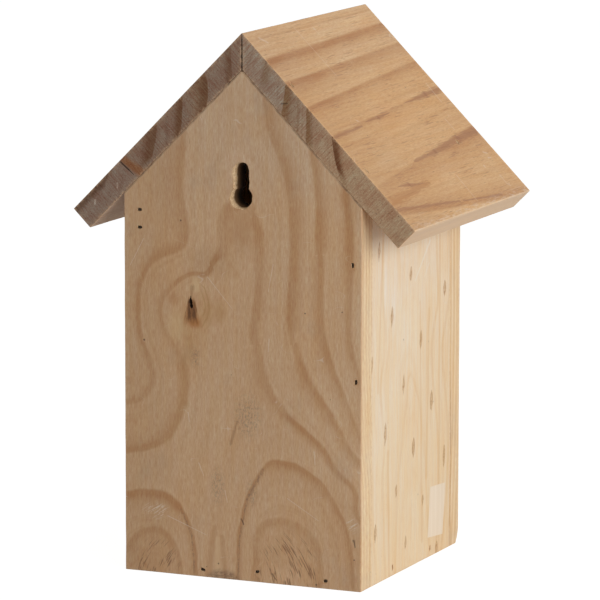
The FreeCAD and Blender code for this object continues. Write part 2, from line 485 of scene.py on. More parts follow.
def block_skin(size, step):
    """Points on the six faces of a block, and the squares between them."""
    lines = [grid_lines(length, step) for length in size]
    counts = [len(line) for line in lines]
    grid = np.indices(counts)
    last = np.array(counts).reshape(3, 1, 1, 1) - 1
    skin = ((grid == 0) | (grid == last)).any(axis=0)
    number = np.full(counts, -1)
    number[skin] = np.arange(skin.sum())
    points = np.stack([lines[axis][grid[axis][skin]] for axis in range(3)], axis=1)
    squares = []
    for axis in range(3):
        for end in (0, counts[axis] - 1):
            sheet = np.take(number, end, axis=axis)
            corners = [sheet[:-1, :-1], sheet[1:, :-1], sheet[1:, 1:], sheet[:-1, 1:]]
            squares.append(np.stack(corners, axis=2).reshape(-1, 4))
    return points, np.concatenate(squares)


def ease(points, size, seed):
    """Round the block's edges by a radius that wanders, with a nick here and there."""
    radius = ARRIS * (0.62 + 0.38 * wander(points / 7.0, seed))
    nick = np.clip(wander(points / 2.6, seed + 1) - 0.75, 0, None) * NICK
    radius = np.clip(radius + nick, LEAST_RADIUS, None)[:, None]
    core = np.clip(points, radius, np.array(size) - radius)
    out = points - core
    return core + out * (radius / np.linalg.norm(out, axis=1, keepdims=True))


def mesh_object(name, points, faces):
    """Object from points in millimetres, with its faces turned outward."""
    mesh = bpy.data.meshes.new(name)
    mesh.from_pydata((np.asarray(points) * MM).tolist(), [], [list(map(int, face)) for face in faces])
    work = bmesh.new()
    work.from_mesh(mesh)
    bmesh.ops.recalc_face_normals(work, faces=work.faces)
    work.to_mesh(mesh)
    work.free()
    made = bpy.data.objects.new(name, mesh)
    into_scene(made)
    return made


print("edge radius", ARRIS, "mm, nicks up to", NICK, "mm")

# %% [markdown]
# Cutters.
# Holes are cut as a joiner cuts them, out of the finished plank: each cutter is a loft through a few
# rings of points, and one boolean takes all of a plank's cutters away together. The place and angle
# of each nail and brad come from its own solid in the frame, so a pocket always meets its head.

# %% Cutter helpers
PLANED, SAWN, TORN, EXTRA = range(4)
HEAD_FACE = 0.02
HEAD_MARGIN = 1.01
OFF_AXIS = (0.3, 0.5, 0.8)
MOUTH_GROWTH = (1.0, 1.35)
MOUTH_ROUNDING = [[0.84], [1.12]]
MOUTH_LIFT, POCKET_TOP = 0.5, 3.0
HEAD_SEED, SLOT_SEED, ROOF_HEAD_SEED = 40, 47, 60


def loft(rings):
    """Points and faces of a closed body through rings with equally many points."""
    count = len(rings[0])
    faces = [tuple(range(count)), tuple(range((len(rings) - 1) * count, len(rings) * count))]
    for level in range(len(rings) - 1):
        for here in range(count):
            beside = (here + 1) % count
            low, high = level * count, (level + 1) * count
            faces.append((low + here, low + beside, high + beside, high + here))
    return np.vstack(rings), faces


def full_turn(count):
    """Equal steps round a circle, in radians."""
    return np.linspace(0, 2 * math.pi, count, endpoint=False)


def solids_in(node):
    """Point sets of the separate solids that share one CAD node, in millimetres."""
    work = bmesh.new()
    work.from_mesh(frame["nodes"][node].data)
    bmesh.ops.remove_doubles(work, verts=work.verts, dist=1e-6)
    waiting = set(work.verts)
    solids = []
    while waiting:
        front = [min(waiting, key=lambda vert: vert.index)]
        solid = set(front)
        while front:
            vert = front.pop()
            near = {edge.other_vert(vert) for edge in vert.link_edges} - solid
            solid |= near
            front += sorted(near, key=lambda each: each.index)
        waiting -= solid
        solids.append(np.array([vert.co for vert in sorted(solid, key=lambda each: each.index)]) / MM)
    work.free()
    return solids


def pocket(solid, outward, seed, turn=0.0):
    """Ragged pocket over a sunk head: from the head's face to well outside the surface, its mouth
    rounded and turned a little against the head."""
    outward = np.array(outward) / np.linalg.norm(outward)
    height = solid @ outward
    head = solid[height > height.max() - HEAD_FACE]
    middle = head.mean(axis=0)
    side = np.cross(outward, OFF_AXIS)
    side /= np.linalg.norm(side)
    angles = np.arctan2((head - middle) @ np.cross(outward, side), (head - middle) @ side)
    corners = head[np.argsort(angles)]
    after = np.roll(corners, -1, axis=0)
    rim = np.stack([corners, (corners + after) / 2], axis=1).reshape(-1, 3)
    draw = np.random.default_rng(seed)
    growth = draw.uniform(*MOUTH_GROWTH, (len(rim), 1)) * np.tile(MOUTH_ROUNDING, (len(corners), 1))
    spin = np.array(Matrix.Rotation(turn, 3, Vector(outward)))
    mouth = middle + (rim - middle) * growth @ spin.T
    floor = middle + (rim - middle) * HEAD_MARGIN - HEAD_FACE * outward
    return loft([floor, mouth + MOUTH_LIFT * outward, mouth + POCKET_TOP * outward])


def pockets(node, outward, turns=(0.0,)):
    """A pocket over each head of a node. The turns, in radians, are used in order and repeated."""
    return [pocket(solid, outward, HEAD_SEED + number, turns[number % len(turns)])
            for number, solid in enumerate(solids_in(node))]


def slot_pocket(node, model, outward):
    """Pocket over a round head where the wood closed to a slot, shaped as over the model's head."""
    direction = np.array(outward)
    nail, brad = solids_in(node)[0], solids_in(model)[0]
    shift = (nail.min(axis=0) + nail.max(axis=0) - brad.min(axis=0) - brad.max(axis=0)) / 2
    shift -= direction * (shift @ direction)
    shift += direction * ((nail @ direction).max() - (brad @ direction).max())
    return pocket(brad + shift, outward, SLOT_SEED)


def carve(plank, cutters):
    """Take all cutters away from a plank. The cut faces get the torn wood's slot."""
    if not cutters:
        return
    points, faces, start = [], [], 0
    for cutter_points, cutter_faces in cutters:
        points.append(cutter_points)
        faces += [tuple(start + index for index in face) for face in cutter_faces]
        start += len(cutter_points)
    tool = mesh_object("cutter", np.vstack(points), faces)
    for material in plank.data.materials:
        tool.data.materials.append(material)
    tool.data.polygons.foreach_set("material_index", [TORN] * len(tool.data.polygons))
    cut = plank.modifiers.new("cut", "BOOLEAN")
    cut.operation = "DIFFERENCE"
    cut.solver = "EXACT"
    cut.object = tool
    seen = plank.evaluated_get(bpy.context.evaluated_depsgraph_get())
    carved = bpy.data.meshes.new_from_object(seen)
    plank.modifiers.clear()
    plank.data = carved
    bpy.data.objects.remove(tool)


print("back board to side:", len(solids_in("brads_back_to_side")), "brads")

# %% [markdown]
# Wood effects as node groups.
# Every plank uses the same few effects with its own values: the dark latewood line at each ring, the
# fine fibres and open pores along the grain, single strokes for scratches and resin streaks, and the
# grey marks of handling. Each is a node group with named sockets. They all read one vector, the
# plank's own (across, along, depth) in millimetres, so grain turns with the plank.

# %% Latewood lines
FADE = 4.6


def build_latewood():
    """Dark band at each whole ring number, sharp on one side. The other side fades out slowly, towards
    higher ring numbers where Lean is above zero and towards lower ones where it is below."""
    inputs = [("Ring", "Float", 0.0), ("Gap", "Float", 10.0), ("Grain", "Vector", None),
              ("Width", "Float", 3.0), ("Lean", "Float", 0.5), ("Strength", "Float", 1.0),
              ("Wander", "Float", 0.05)]
    given, out = new_group("latewood", inputs, [("Line", "Float"), ("Shade", "Float")])
    drift = speckle(given["Grain"], (0.16, 0.035, 0.16))
    drift = times(minus(drift, 0.5), given["Wander"])
    ring = sums("ADD", given["Ring"], drift)
    side = times_plus(sums("GREATER_THAN", given["Lean"], -0.001), 2.0, -1.0)
    turn = sums("FRACT", times_plus(ring, side, 0.3))
    turn = minus(turn, 0.3)
    away = times(turn, given["Gap"])
    half = times(given["Width"], 0.5)
    edge = times_plus(given["Width"], 0.18, 0.25)
    rise = ramp(sums("ADD", away, half), times(edge, -1.0), edge)
    reach = times_plus(sums("ABSOLUTE", given["Lean"]), FADE, 0.5)
    beyond = sums("MAXIMUM", minus(away, times(half, 0.3)), 0.0)
    fall = sums("EXPONENT", sums("DIVIDE", beyond, times(reach, -1.0)))
    band = times(rise, times(fall, ramp(turn, 0.68, 0.40)))
    patchy = speckle(given["Grain"], (0.09, 0.03, 0.09))
    band = times(band, ramp(patchy, 0.3, 0.62, 0.72, 1.0))
    feed(out["Line"], sums("MULTIPLY", band, given["Strength"], clamp=True))
    spot = joined(times(ring, 7.0))
    spot = vectors("ADD", spot, vectors("MULTIPLY", given["Grain"], (0.012, 0.006, 0.03)))
    feed(out["Shade"], speckle(spot, None, 3.0, 0.6))


build_latewood()
print("group latewood:", len(bpy.data.node_groups["latewood"].nodes), "nodes")

# %% Fibres and pores
def build_fibres():
    """Streaks of fibre along the grain, short dark pores, fine grit, and the height that they give."""
    inputs = [("Grain", "Vector", None), ("Pore Amount", "Float", 0.5)]
    outputs = [("Streak", "Float"), ("Pore", "Float"), ("Grit", "Float"), ("Height", "Float")]
    given, out = new_group("fibres", inputs, outputs)
    streak = speckle(given["Grain"], (0.9, 0.02, 0.9), 4.0, 0.65)
    fine = speckle(given["Grain"], (4.5, 0.16, 4.5), 2.0, 0.6)
    dash = speckle(given["Grain"], (1.9, 0.13, 1.9), 1.0, 0.5)
    limit = minus(0.80, times(given["Pore Amount"], 0.15))
    pore = ramp(minus(dash, limit), 0.0, 0.05)
    height = times_plus(fine, 0.7, times(streak, 0.3))
    feed(out["Streak"], times_plus(fine, 0.35, times(streak, 0.65)))
    feed(out["Pore"], pore)
    feed(out["Grit"], speckle(given["Grain"], (2.4, 0.26, 2.4), 3.0, 0.75))
    feed(out["Height"], minus(height, times(pore, 0.8)))


build_fibres()
print("group fibres:", len(bpy.data.node_groups["fibres"].nodes), "nodes")

# %% Strokes and flecks
def build_stroke():
    """Straight tapered mark between two points of the board, ragged along its sides."""
    inputs = [("Grain", "Vector", None), ("Start", "Vector", None), ("End", "Vector", None),
              ("Start Width", "Float", 1.0), ("End Width", "Float", 1.0), ("Ragged", "Float", 0.3)]
    given, out = new_group("stroke", inputs, [("Mask", "Float")])
    flat = vectors("MULTIPLY", given["Grain"], (1, 1, 0))
    toward = vectors("SUBTRACT", given["End"], given["Start"])
    offset = vectors("SUBTRACT", flat, given["Start"])
    along = vectors("DOT_PRODUCT", offset, toward)
    share = sums("DIVIDE", along, vectors("DOT_PRODUCT", toward, toward), clamp=True)
    step = {0: toward, "Scale": share}
    carried = add(tree_of([share]), "VectorMath", step, operation="SCALE").outputs[0]
    away = vectors("DISTANCE", offset, carried)
    growth = minus(given["End Width"], given["Start Width"])
    width = times_plus(share, growth, given["Start Width"])
    rough = speckle(given["Grain"], (1.5, 0.09, 1.5), 3.0, 0.6)
    rough = times(minus(rough, 0.5), given["Ragged"])
    width = times(width, times_plus(rough, 2.0, 0.5))
    place = sums("DIVIDE", away, sums("MAXIMUM", width, 0.01))
    feed(out["Mask"], ramp(place, 1.0, 0.25))


def build_fleck():
    """Lens shaped resin fleck: a body, and the darker rim and hatching on it."""
    inputs = [("Grain", "Vector", None), ("Middle", "Vector", None), ("Half Width", "Float", 1.7),
              ("Half Length", "Float", 4.0)]
    given, out = new_group("resin_fleck", inputs, [("Body", "Float"), ("Dark", "Float")])
    part = parts(vectors("SUBTRACT", given["Grain"], given["Middle"]))
    wobble = speckle(given["Grain"], (0.5, 0.35, 0.5), 3.0, 0.6)
    wobble = times_plus(wobble, 2.0, -1.0)
    lean = sums("ADD", times_plus(part[1], -0.07, part[0]), wobble)
    along = sums("DIVIDE", sums("ABSOLUTE", part[1]), given["Half Length"], clamp=True)
    room = minus(1.0, sums("POWER", along, 1.8))
    room = sums("MAXIMUM", times(room, given["Half Width"]), 0.02)
    share = sums("DIVIDE", sums("ABSOLUTE", lean), room)
    body = ramp(share, 1.25, 0.7)
    rim = times(ramp(share, 0.3, 0.7), ramp(share, 1.15, 0.85))
    hatch = ramp(speckle(given["Grain"], (1.6, 0.7, 1.0), 2.0, 0.6), 0.46, 0.62)
    feed(out["Body"], body)
    feed(out["Dark"], times(sums("MAXIMUM", rim, hatch), body))


build_stroke()
build_fleck()
print("groups stroke and resin_fleck ready")

# %% Marks of handling
def build_handling():
    """Grey smudges, fine pale hair scratches, and a few dark specks."""
    inputs = [("Grain", "Vector", None)]
    outputs = [("Smudge", "Float"), ("Scratch", "Float"), ("Speck", "Float")]
    given, out = new_group("handling", inputs, outputs)
    cloud = speckle(given["Grain"], (0.045, 0.03, 0.045), 4.0, 0.6)
    feed(out["Smudge"], ramp(cloud, 0.54, 0.74))
    bent = speckle(given["Grain"], (0.05, 0.07, 0.05), 1.0, 0.4)
    ridge = sums("ABSOLUTE", minus(bent, 0.5))
    hair = ramp(ridge, 0.0022, 0.0006)
    patch = ramp(speckle(given["Grain"], (0.11, 0.08, 0.11), 2.0), 0.52, 0.62)
    feed(out["Scratch"], times(hair, patch))
    dots = add(tree_of([cloud]), "TexVoronoi", {"Vector": given["Grain"], "Scale": 0.16}).outputs
    size = ramp(parts(dots["Color"])[0], 0.74, 1.0, 0.0, 0.08)
    feed(out["Speck"], sums("LESS_THAN", dots["Distance"], size))


build_handling()
print("group handling ready")

# %% [markdown]
# Planed pine.
# One recipe makes the planed faces of every board. Pale earlywood and warmer latewood are mixed by
# the ring line, the fibres and pores break that up, and handling, strokes and flecks are laid on top
# in the order in which they happened to the board. Last the arrises get a pale tone, partly wear and
# partly a painted highlight. Roughness and bump come from the same fibres and rings, so the gloss runs
# with the grain.

# %% Pine recipe
# Pale tone on the arrises: partly wear, partly a painted highlight where light catches the rounded edge.
ARRIS_WEAR_AND_HIGHLIGHT = (0.72, 0.48, 0.29)
PALE_MARK = (0.88, 0.76, 0.62)
GREY_MARK = (0.30, 0.25, 0.21)
SPECK_TONE = (0.10, 0.06, 0.035)
PORE_TONE = (0.27, 0.115, 0.042)
WARM_CLOUD = (0.99, 0.945, 0.885)
RICH_STREAK = (0.99, 0.965, 0.91)
FIBRE_POWERS = (0.48, 1.08, 1.3)


def board_inputs(tree):
    """The plank's attributes: what the latewood group reads, nearness to an arris for its wear and painted
    highlight, and the grain.
    """
    def value(name):
        return add(tree, "Attribute", attribute_name=name).outputs["Fac"]

    grain = add(tree, "Attribute", attribute_name="grain").outputs["Vector"]
    rings = {"Ring": value("ring"), "Gap": value("ring_gap"), "Width": value("ring_width"),
             "Lean": value("ring_lean"), "Strength": value("ring_strength"), "Grain": grain}
    return rings, value("arris"), grain


def start_material(name):
    material = bpy.data.materials.new(name)
    material.use_nodes = True
    tree = material.node_tree
    return material, tree, tree.nodes["Principled BSDF"].inputs


def finish_surface(surface, colour, roughness, height, relief, depth, sheen=0.5):
    """Give a material its colour, its roughness, a fine relief and the strength of its sheen."""
    feed(surface["Base Color"], colour)
    feed(surface["Roughness"], roughness)
    bump = {"Height": height, "Strength": relief, "Distance": depth}
    feed(surface["Normal"], add(tree_of([height]), "Bump", bump).outputs[0])
    surface["Specular IOR Level"].default_value = sheen


def lay_strokes(grain, colour, strokes, tone, strength, ragged=0.3):
    """Lay a list of strokes, each (start, end, start width, end width), over a colour."""
    for start, end, start_width, end_width in strokes:
        places = {"Grain": grain, "Start": (*start, 0), "End": (*end, 0), "Ragged": ragged,
                  "Start Width": start_width, "End Width": end_width}
        colour = lay(colour, use_group("stroke", places)["Mask"], strength, tone)
    return colour


def brighten(colour, level):
    """A colour made lighter or darker. Its weak channels move more, as in pale and dark fibres."""
    light = joined(*(sums("POWER", level, power) for power in FIBRE_POWERS))
    return toned(colour, 1.0, light)


def pine(name, early, late, pores=0.5, smudge=0.35, streaks=0.05, grit=0.07, specks=0.4,
         rich=RICH_STREAK, wear_and_highlight=ARRIS_WEAR_AND_HIGHLIGHT, extra=None):
    """Planed pine. The extra function may lay this board's own marks over the colour."""
    material, tree, surface = start_material(name)
    rings, arris, grain = board_inputs(tree)
    wood = use_group("latewood", rings)
    open_pores = times_plus(wood["Line"], 0.35 * pores, pores)
    fibre = use_group("fibres", {"Grain": grain, "Pore Amount": open_pores})
    marks = use_group("handling", {"Grain": grain})
    shade = times(ramp(wood["Shade"], 0.40, 0.70), 0.22)
    colour = tint(sums("MAXIMUM", wood["Line"], shade), early, late)
    cloud = speckle(grain, (0.035, 0.022, 0.035))
    colour = toned(colour, ramp(cloud, 0.42, 0.68), WARM_CLOUD)
    band = speckle(grain, (0.45, 0.03, 0.45), 2.0, 0.6)
    colour = toned(colour, ramp(band, 0.38, 0.62), rich)
    level = times(ramp(fibre["Streak"], 0.25, 0.75, 1 - streaks, 1 + streaks),
                  ramp(fibre["Grit"], 0.25, 0.75, 1 - grit, 1 + grit))
    colour = brighten(colour, level)
    colour = lay(colour, marks["Smudge"], smudge * 0.4, GREY_MARK)
    colour = lay(colour, fibre["Pore"], 0.5, PORE_TONE)
    if extra:
        colour = extra(grain, colour)
    colour = lay(colour, marks["Scratch"], 0.35, PALE_MARK)
    colour = lay(colour, marks["Speck"], specks, SPECK_TONE)
    # The arrises: partly rubbed wear, partly a painted highlight.
    rub_and_highlight = times(ramp(speckle(grain, (0.5, 0.5, 0.5)), 0.35, 0.65), 0.6)
    colour = lay(colour, arris, rub_and_highlight, wear_and_highlight)
    gloss = minus(ramp(fibre["Streak"], 0.2, 0.8, 0.66, 0.54), times(wood["Line"], 0.06))
    height = times_plus(wood["Line"], 0.25, fibre["Height"])
    finish_surface(surface, colour, gloss, height, relief=0.09, depth=0.00025, sheen=0.32)
    return material


print("pine recipe ready")

# %% [markdown]
# Sawn ends and torn holes.
# Across the grain, pine shows its rings edge on. A saw leaves that face rough and it takes up dirt,
# so the ends in the photograph are grey brown with dark slanted rings. The walls of a drilled or
# punched hole are paler and fibrous; in the punched keyhole they turn brown and then dark with depth,
# as painted shade. Both are separate materials: the sawn ends go on the faces by their angle, the
# hole walls on the faces that the cutters leave.

# %% End grain
def sawn_end(name, ground, late, rings_share=1.0, extra=None):
    """Sawn end: rings edge on, saw marks and pits. The extra function may lay marks over the rings."""
    material, tree, surface = start_material(name)
    rings, arris, grain = board_inputs(tree)
    wood = use_group("latewood", rings)
    pits = speckle(grain, (1.7, 1.7, 1.3), 3.0, 0.75)
    saw = speckle(grain, (1.5, 1.5, 0.1), 3.0, 0.65)
    cloud = speckle(grain, (0.10, 0.10, 0.16), 3.0, 0.6)
    shade = times(ramp(wood["Shade"], 0.45, 0.75), 0.2)
    line = times(wood["Line"], rings_share)
    colour = tint(sums("MAXIMUM", line, shade), ground, late)
    if extra:
        colour = extra(grain, colour)
    level = times(ramp(pits, 0.25, 0.75, 0.72, 1.28), ramp(saw, 0.25, 0.75, 0.70, 1.30))
    colour = brighten(colour, times(level, ramp(cloud, 0.3, 0.7, 0.88, 1.12)))
    hole = ramp(speckle(grain, (1.3, 1.3, 1.1), 2.0, 0.6), 0.63, 0.68)
    colour = lay(colour, hole, 0.75, late)
    # The arrises: partly rubbed wear, partly a painted highlight.
    rub_and_highlight = times(ramp(speckle(grain, (0.6, 0.6, 0.6)), 0.38, 0.62), 0.7)
    colour = lay(colour, arris, rub_and_highlight, ARRIS_WEAR_AND_HIGHLIGHT)
    gloss = ramp(pits, 0.2, 0.8, 0.9, 0.72)
    height = times_plus(saw, 0.6, pits)
    finish_surface(surface, colour, gloss, height, relief=0.35, depth=0.0003, sheen=0.2)
    return material


SAWN_GROUND = (0.43, 0.29, 0.185)
SAWN_LATE = (0.26, 0.14, 0.075)
PLAIN_END = sawn_end("plain_sawn_end", SAWN_GROUND, SAWN_LATE)
print("material", PLAIN_END.name)

# %% Torn wood
FIBRE_DEEP = (0.62, 0.39, 0.20)
FIBRE_PALE = (0.92, 0.68, 0.42)
TORN_STAIN = (0.22, 0.13, 0.07)
HOLE_SHADE_BROWN = (0.19, 0.105, 0.050)
HOLE_SHADE_DARK = (0.045, 0.026, 0.014)


def torn_wood(name, shade_from, shade_deep):
    """Fibrous wall of a hole, with painted shade: it turns brown between two depths below the plank's face,
    then dark.
    """
    material, tree, surface = start_material(name)
    grain = board_inputs(tree)[2]
    fuzz = speckle(grain, (2.4, 0.9, 1.4), 4.0, 0.65)
    char = speckle(grain, (0.5, 0.35, 0.5), 3.0, 0.6)
    colour = tint(ramp(fuzz, 0.3, 0.7), FIBRE_DEEP, FIBRE_PALE)
    colour = tint(ramp(char, 0.55, 0.75, 0.0, 0.6), colour, TORN_STAIN)
    depth = times_plus(char, 2.0, minus(parts(grain)[2], 1.0))
    colour = tint(ramp(depth, shade_from, shade_deep), colour, HOLE_SHADE_BROWN)
    colour = tint(ramp(depth, shade_deep, 2 * shade_deep + 3), colour, HOLE_SHADE_DARK)
    gloss = ramp(fuzz, 0.2, 0.8, 0.95, 0.75)
    finish_surface(surface, colour, gloss, fuzz, relief=0.5, depth=0.0006, sheen=0.15)
    return material


# Drilled walls stay clean; the punched keyhole's wall darkens with depth as painted shade.
DRILLED_WOOD = torn_wood("drilled_wood", shade_from=90.0, shade_deep=100.0)
PUNCHED_WOOD = torn_wood("punched_wood", shade_from=1.5, shade_deep=3.4)
# The crack's wall is dark from its mouth on: painted shade.
SHADED_CRACK = torn_wood("crack_wall_painted_shade", shade_from=-2.0, shade_deep=-1.4)
print("materials", DRILLED_WOOD.name, PUNCHED_WOOD.name, SHADED_CRACK.name)

# %% [markdown]
# From block to finished plank.
# Each board is now a recipe of a few values: the block's size, how it folds into place, how a point
# of the box turns into (across, along, depth), the ring field, and the cutters. One function runs the
# recipe and writes the results as mesh attributes, which the materials read by name.

# %% Plank maker
END_LIMIT = 0.6
ARRIS_REACH = 1.3
SHARP_PLANK = math.radians(38)


def edge_distance(points, corners, edges):
    """Distance from each point to the nearest of the plank's straight edges."""
    best = np.full(len(points), 1e9)
    for first, second in edges:
        a, b = np.array(corners[first]), np.array(corners[second])
        share = np.clip((points - a) @ (b - a) / ((b - a) @ (b - a)), 0, 1)
        best = np.minimum(best, np.linalg.norm(points - a - share[:, None] * (b - a), axis=1))
    return best


def block_edges(size, fold, stops):
    """Folded corners of a block, with extra stops along its first side, and the edges between them."""
    corners, edges = [], []
    for b in (0, size[1]):
        for c in (0, size[2]):
            run = [(a, b, c) for a in stops]
            start = len(corners)
            corners += run
            edges += [(start + k, start + k + 1) for k in range(len(run) - 1)]
    count = len(stops)
    for end in (0, count - 1):
        loop = [end, count + end, 3 * count + end, 2 * count + end]
        edges += list(zip(loop, loop[1:] + loop[:1]))
    return fold(np.array(corners, float)), edges


def write_attribute(mesh, name, values):
    kind = "FLOAT_VECTOR" if values.ndim == 2 else "FLOAT"
    made = mesh.attributes.new(name, kind, "POINT")
    made.data.foreach_set("vector" if values.ndim == 2 else "value", values.astype(np.float32).ravel())


def finish_plank(plank, grain_of, figure, corners, edges, along_axis):
    """Write the attributes, give the sawn faces their slot and shade the rest smooth."""
    mesh = plank.data
    points = np.array([vert.co for vert in mesh.vertices]) / MM
    normals = np.array([vert.normal for vert in mesh.vertices])
    grain = grain_of(points)
    normal = grain_of(points + normals) - grain
    level_at, look_at = figure
    width, lean, strength = look_at(grain).T
    near_arris = 1 - np.clip(edge_distance(points, corners, edges) / ARRIS_REACH, 0, 1)
    values = {"grain": grain, "ring": level_at(grain), "ring_gap": ring_gap(level_at, grain, normal),
              "ring_width": width, "ring_lean": lean, "ring_strength": strength, "arris": near_arris}
    for name, value in values.items():
        write_attribute(mesh, name, value)
    for face in mesh.polygons:
        across_grain = abs(face.normal.dot(Vector(along_axis))) > END_LIMIT
        if face.material_index != TORN:
            face.material_index = SAWN if across_grain else PLANED
    mesh.shade_smooth()
    mesh.set_sharp_from_angle(angle=SHARP_PLANK)


def make_plank(node, body, size, fold, grain_of, figure, materials, along_axis,
               cutters=(), step=2.2, seed=1, stops=None):
    """Build one plank in the place of its CAD node."""
    points, squares = block_skin(size, step)
    plank = mesh_object(node + "_planed", fold(ease(points, size, seed)), squares)
    for material in materials:
        plank.data.materials.append(material)
    carve(plank, list(cutters))
    corners, edges = block_edges(size, fold, stops or (0, size[0]))
    finish_plank(plank, grain_of, figure, corners, edges, along_axis)
    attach(plank, body)
    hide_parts(node)
    print(plank.name, len(plank.data.polygons), "faces")
    return plank


def roofline(x):
    """Height of the roof's underside over a point."""
    return APEX - np.abs(x) * SLOPE


BACKWARD, FORWARD = (0, 1, 0), (0, -1, 0)
LEFTWARD, UPRIGHT = (-1, 0, 0), (0, 0, 1)
print("roof height over the wall", roofline(HALF_WIDTH))

# %% [markdown]
# The back board.
# This is the face of the photograph: a flat sawn board with a knot, lines that sweep round it, and
# two arches at the foot. The lines below are drawn as (x, z) points in millimetres. Rings slope into
# the board's depth, so the same field also draws the slanting lines on its narrow edge.

# %% Ring lines of the back board
WIDE_TOP, WIDE_SIDE, BEND, BOW = (4.2, 1.7, 0.64), (4.8, 0.8, 0.82), (3.4, 0.8, 0.66), (2.8, 0.3, 0.7)
BACK_LINES = [
    (2, WIDE_TOP, [(29.7, 208), (31.2, 196), (32, 189), (31.7, 180), (30.5, 173), (29.3, 166), (29, 161)]),
    (2, BEND, [(29.8, 157), (32, 155), (35, 153.5), (39, 152), (43.3, 150)]),
    (2, BOW, [(48.5, 144.6), (52, 137), (53.2, 129), (53.2, 121), (51.7, 111), (49.5, 105)]),
    (2, (3.5, 0.3, 0.5), [(47, 99.5), (45.7, 94), (48, 86.5), (53.5, 81.9), (60, 80.3)]),
    (2.45, None, [(60, 112), (57, 104), (55.5, 97), (60, 97), (60, 90)]),
    (1, (3.2, 0.0, 0.8), [(18.3, 143.6), (24.6, 143.4), (30.8, 140.6)]),
    (1, (2.8, 0.2, 0.5), [(37, 135), (41.2, 128.8), (41.8, 122.5), (39.7, 116.3)]),
    (1, (2.8, 0.2, 0.42), [(35.8, 110.3), (32.6, 105)]),
    (1, (4.8, 0.8, 0.65), [(29.8, 98.5), (28.7, 92), (29.5, 86.6), (31, 80.8), (34, 73), (38.3, 66.2)]),
    (1, (4.0, 0.5, 0.75), [(46.5, 60.6), (52, 58.8), (59, 57.4)]),
    (1, (3.8, 0.0, 0.85), [(15.6, 147), (13, 150.3)]),
    (1, (5.4, -0.6, 0.6), [(10, 155), (9.6, 162), (9.3, 168), (7.5, 173), (4, 176)]),
    (1, (6.5, 0.0, 0.55), [(0, 176.5), (-4, 174.5), (-7, 170)]),
    (1, (5.8, 0.3, 0.68), [(-9, 164), (-9.4, 158), (-9.3, 147.5), (-8.9, 137), (-7.6, 126.7), (-6.6, 116)]),
    (1, (5.0, -0.8, 0.6), [(-8.3, 106), (-9.8, 99.3), (-13, 90.8), (-17.8, 83.8)]),
    (1, (3.0, -0.5, 1.0), [(-25.5, 77.2), (-34.4, 70.5), (-42.1, 63.4)]),
    (1, (2.8, -0.3, 0.75), [(-49.2, 53.8), (-57, 40.3)]),
    (2, WIDE_SIDE, [(-14, 217), (-15.3, 211), (-19.3, 202.3), (-23.5, 189.5), (-25.6, 179), (-26.2, 168)]),
    (2, WIDE_SIDE, [(-26.2, 158), (-26.2, 145.4), (-25.2, 135), (-24.9, 123)]),
    (2, (4.0, 0.0, 0.55), [(-25.7, 116), (-27.5, 109)]),
    (2, (3.6, -0.7, 0.85), [(-30.3, 103), (-33, 97), (-38.6, 89.3), (-44, 81.9)]),
    (2, (3.0, -0.4, 0.6), [(-49.2, 73.6), (-54.4, 65.2)]),
    (3, (4.2, 0.7, 0.88), [(-36, 203.7), (-38.2, 189), (-39.2, 178.8), (-38.8, 168), (-38.9, 160)]),
    (3, (4.2, -0.7, 0.85), [(-39.2, 151.7), (-39.2, 140), (-39.4, 130), (-40, 120), (-42.2, 111)]),
    (3, (3.0, -0.6, 0.75), [(-46.6, 100), (-49.2, 94.4)]),
    (3, (2.6, -0.3, 0.5), [(-53.4, 85), (-59, 73)]),
    (4, (4.4, -0.5, 0.95), [(-52, 185), (-53.9, 168), (-54, 158)]),
    (4, (3.4, -0.3, 0.7), [(-53.7, 137), (-53.5, 121.5), (-55, 111)]),
    (4, (3.0, -0.3, 0.6), [(-57.2, 104), (-59.5, 97)]),
    (1, (1.8, 0.2, 0.95), [(2.2, 2.5), (1.7, 15), (0.1, 27.5), (-3, 40), (-6.7, 47.3), (-10.8, 53.5)]),
    (1, (3.0, 0.7, 0.9), [(-14.5, 56.5), (-21.3, 57.2), (-27.5, 56.2), (-33.8, 53), (-41, 47.8)]),
    (1, (2.6, 0.4, 0.75), [(-46.3, 40.6)]),
    (1, (2.4, 0.2, 0.7), [(-51.3, 31.7), (-53.8, 23.3), (-55.4, 13), (-56, 2.5)]),
    (2, (4.5, 0.4, 0.5), [(-7, 2), (-7.7, 20), (-11, 26.3), (-16, 29), (-21, 29.4), (-28.5, 27.4)]),
    (2, (4.5, 0.4, 0.5), [(-34.6, 23.8), (-37.8, 18), (-39.3, 7.7)]),
    (1, (4.4, 0.6, 0.95), [(58.4, 35.5), (53.8, 36.8), (46.5, 37.6), (39.2, 36.6), (33.6, 33)]),
    (1, (2.2, 0.3, 0.95), [(29.8, 29), (26.9, 23.3), (24.9, 16), (24, 6.7), (23.7, 0.5)]),
    (2, (3.6, 0.3, 0.55), [(57, 12.5), (53.8, 16.4), (48.5, 19.5), (43.3, 20), (38, 17.3), (34.7, 12.5)]),
    (2, (3.6, 0.3, 0.55), [(32.7, 6.7), (32.2, 0.5)]),
    (0.4, None, [(10, 120), (9, 80), (12, 45), (3, 150)]),
    (0.75, None, [(26, 128), (-30, 63), (-52, 44), (44, 48)]),
    (1.5, None, [(8, 205), (6, 228)]),
    (0.5, None, [(12.5, 12), (13, 28)]),
    (2.6, None, [(46, 4), (-23, 8), (52, 190), (56, 165), (57, 140)]),
]
BACK_TILT = 0.3
EDGE_WIDTH, EDGE_STRENGTH = 0.35, 0.7


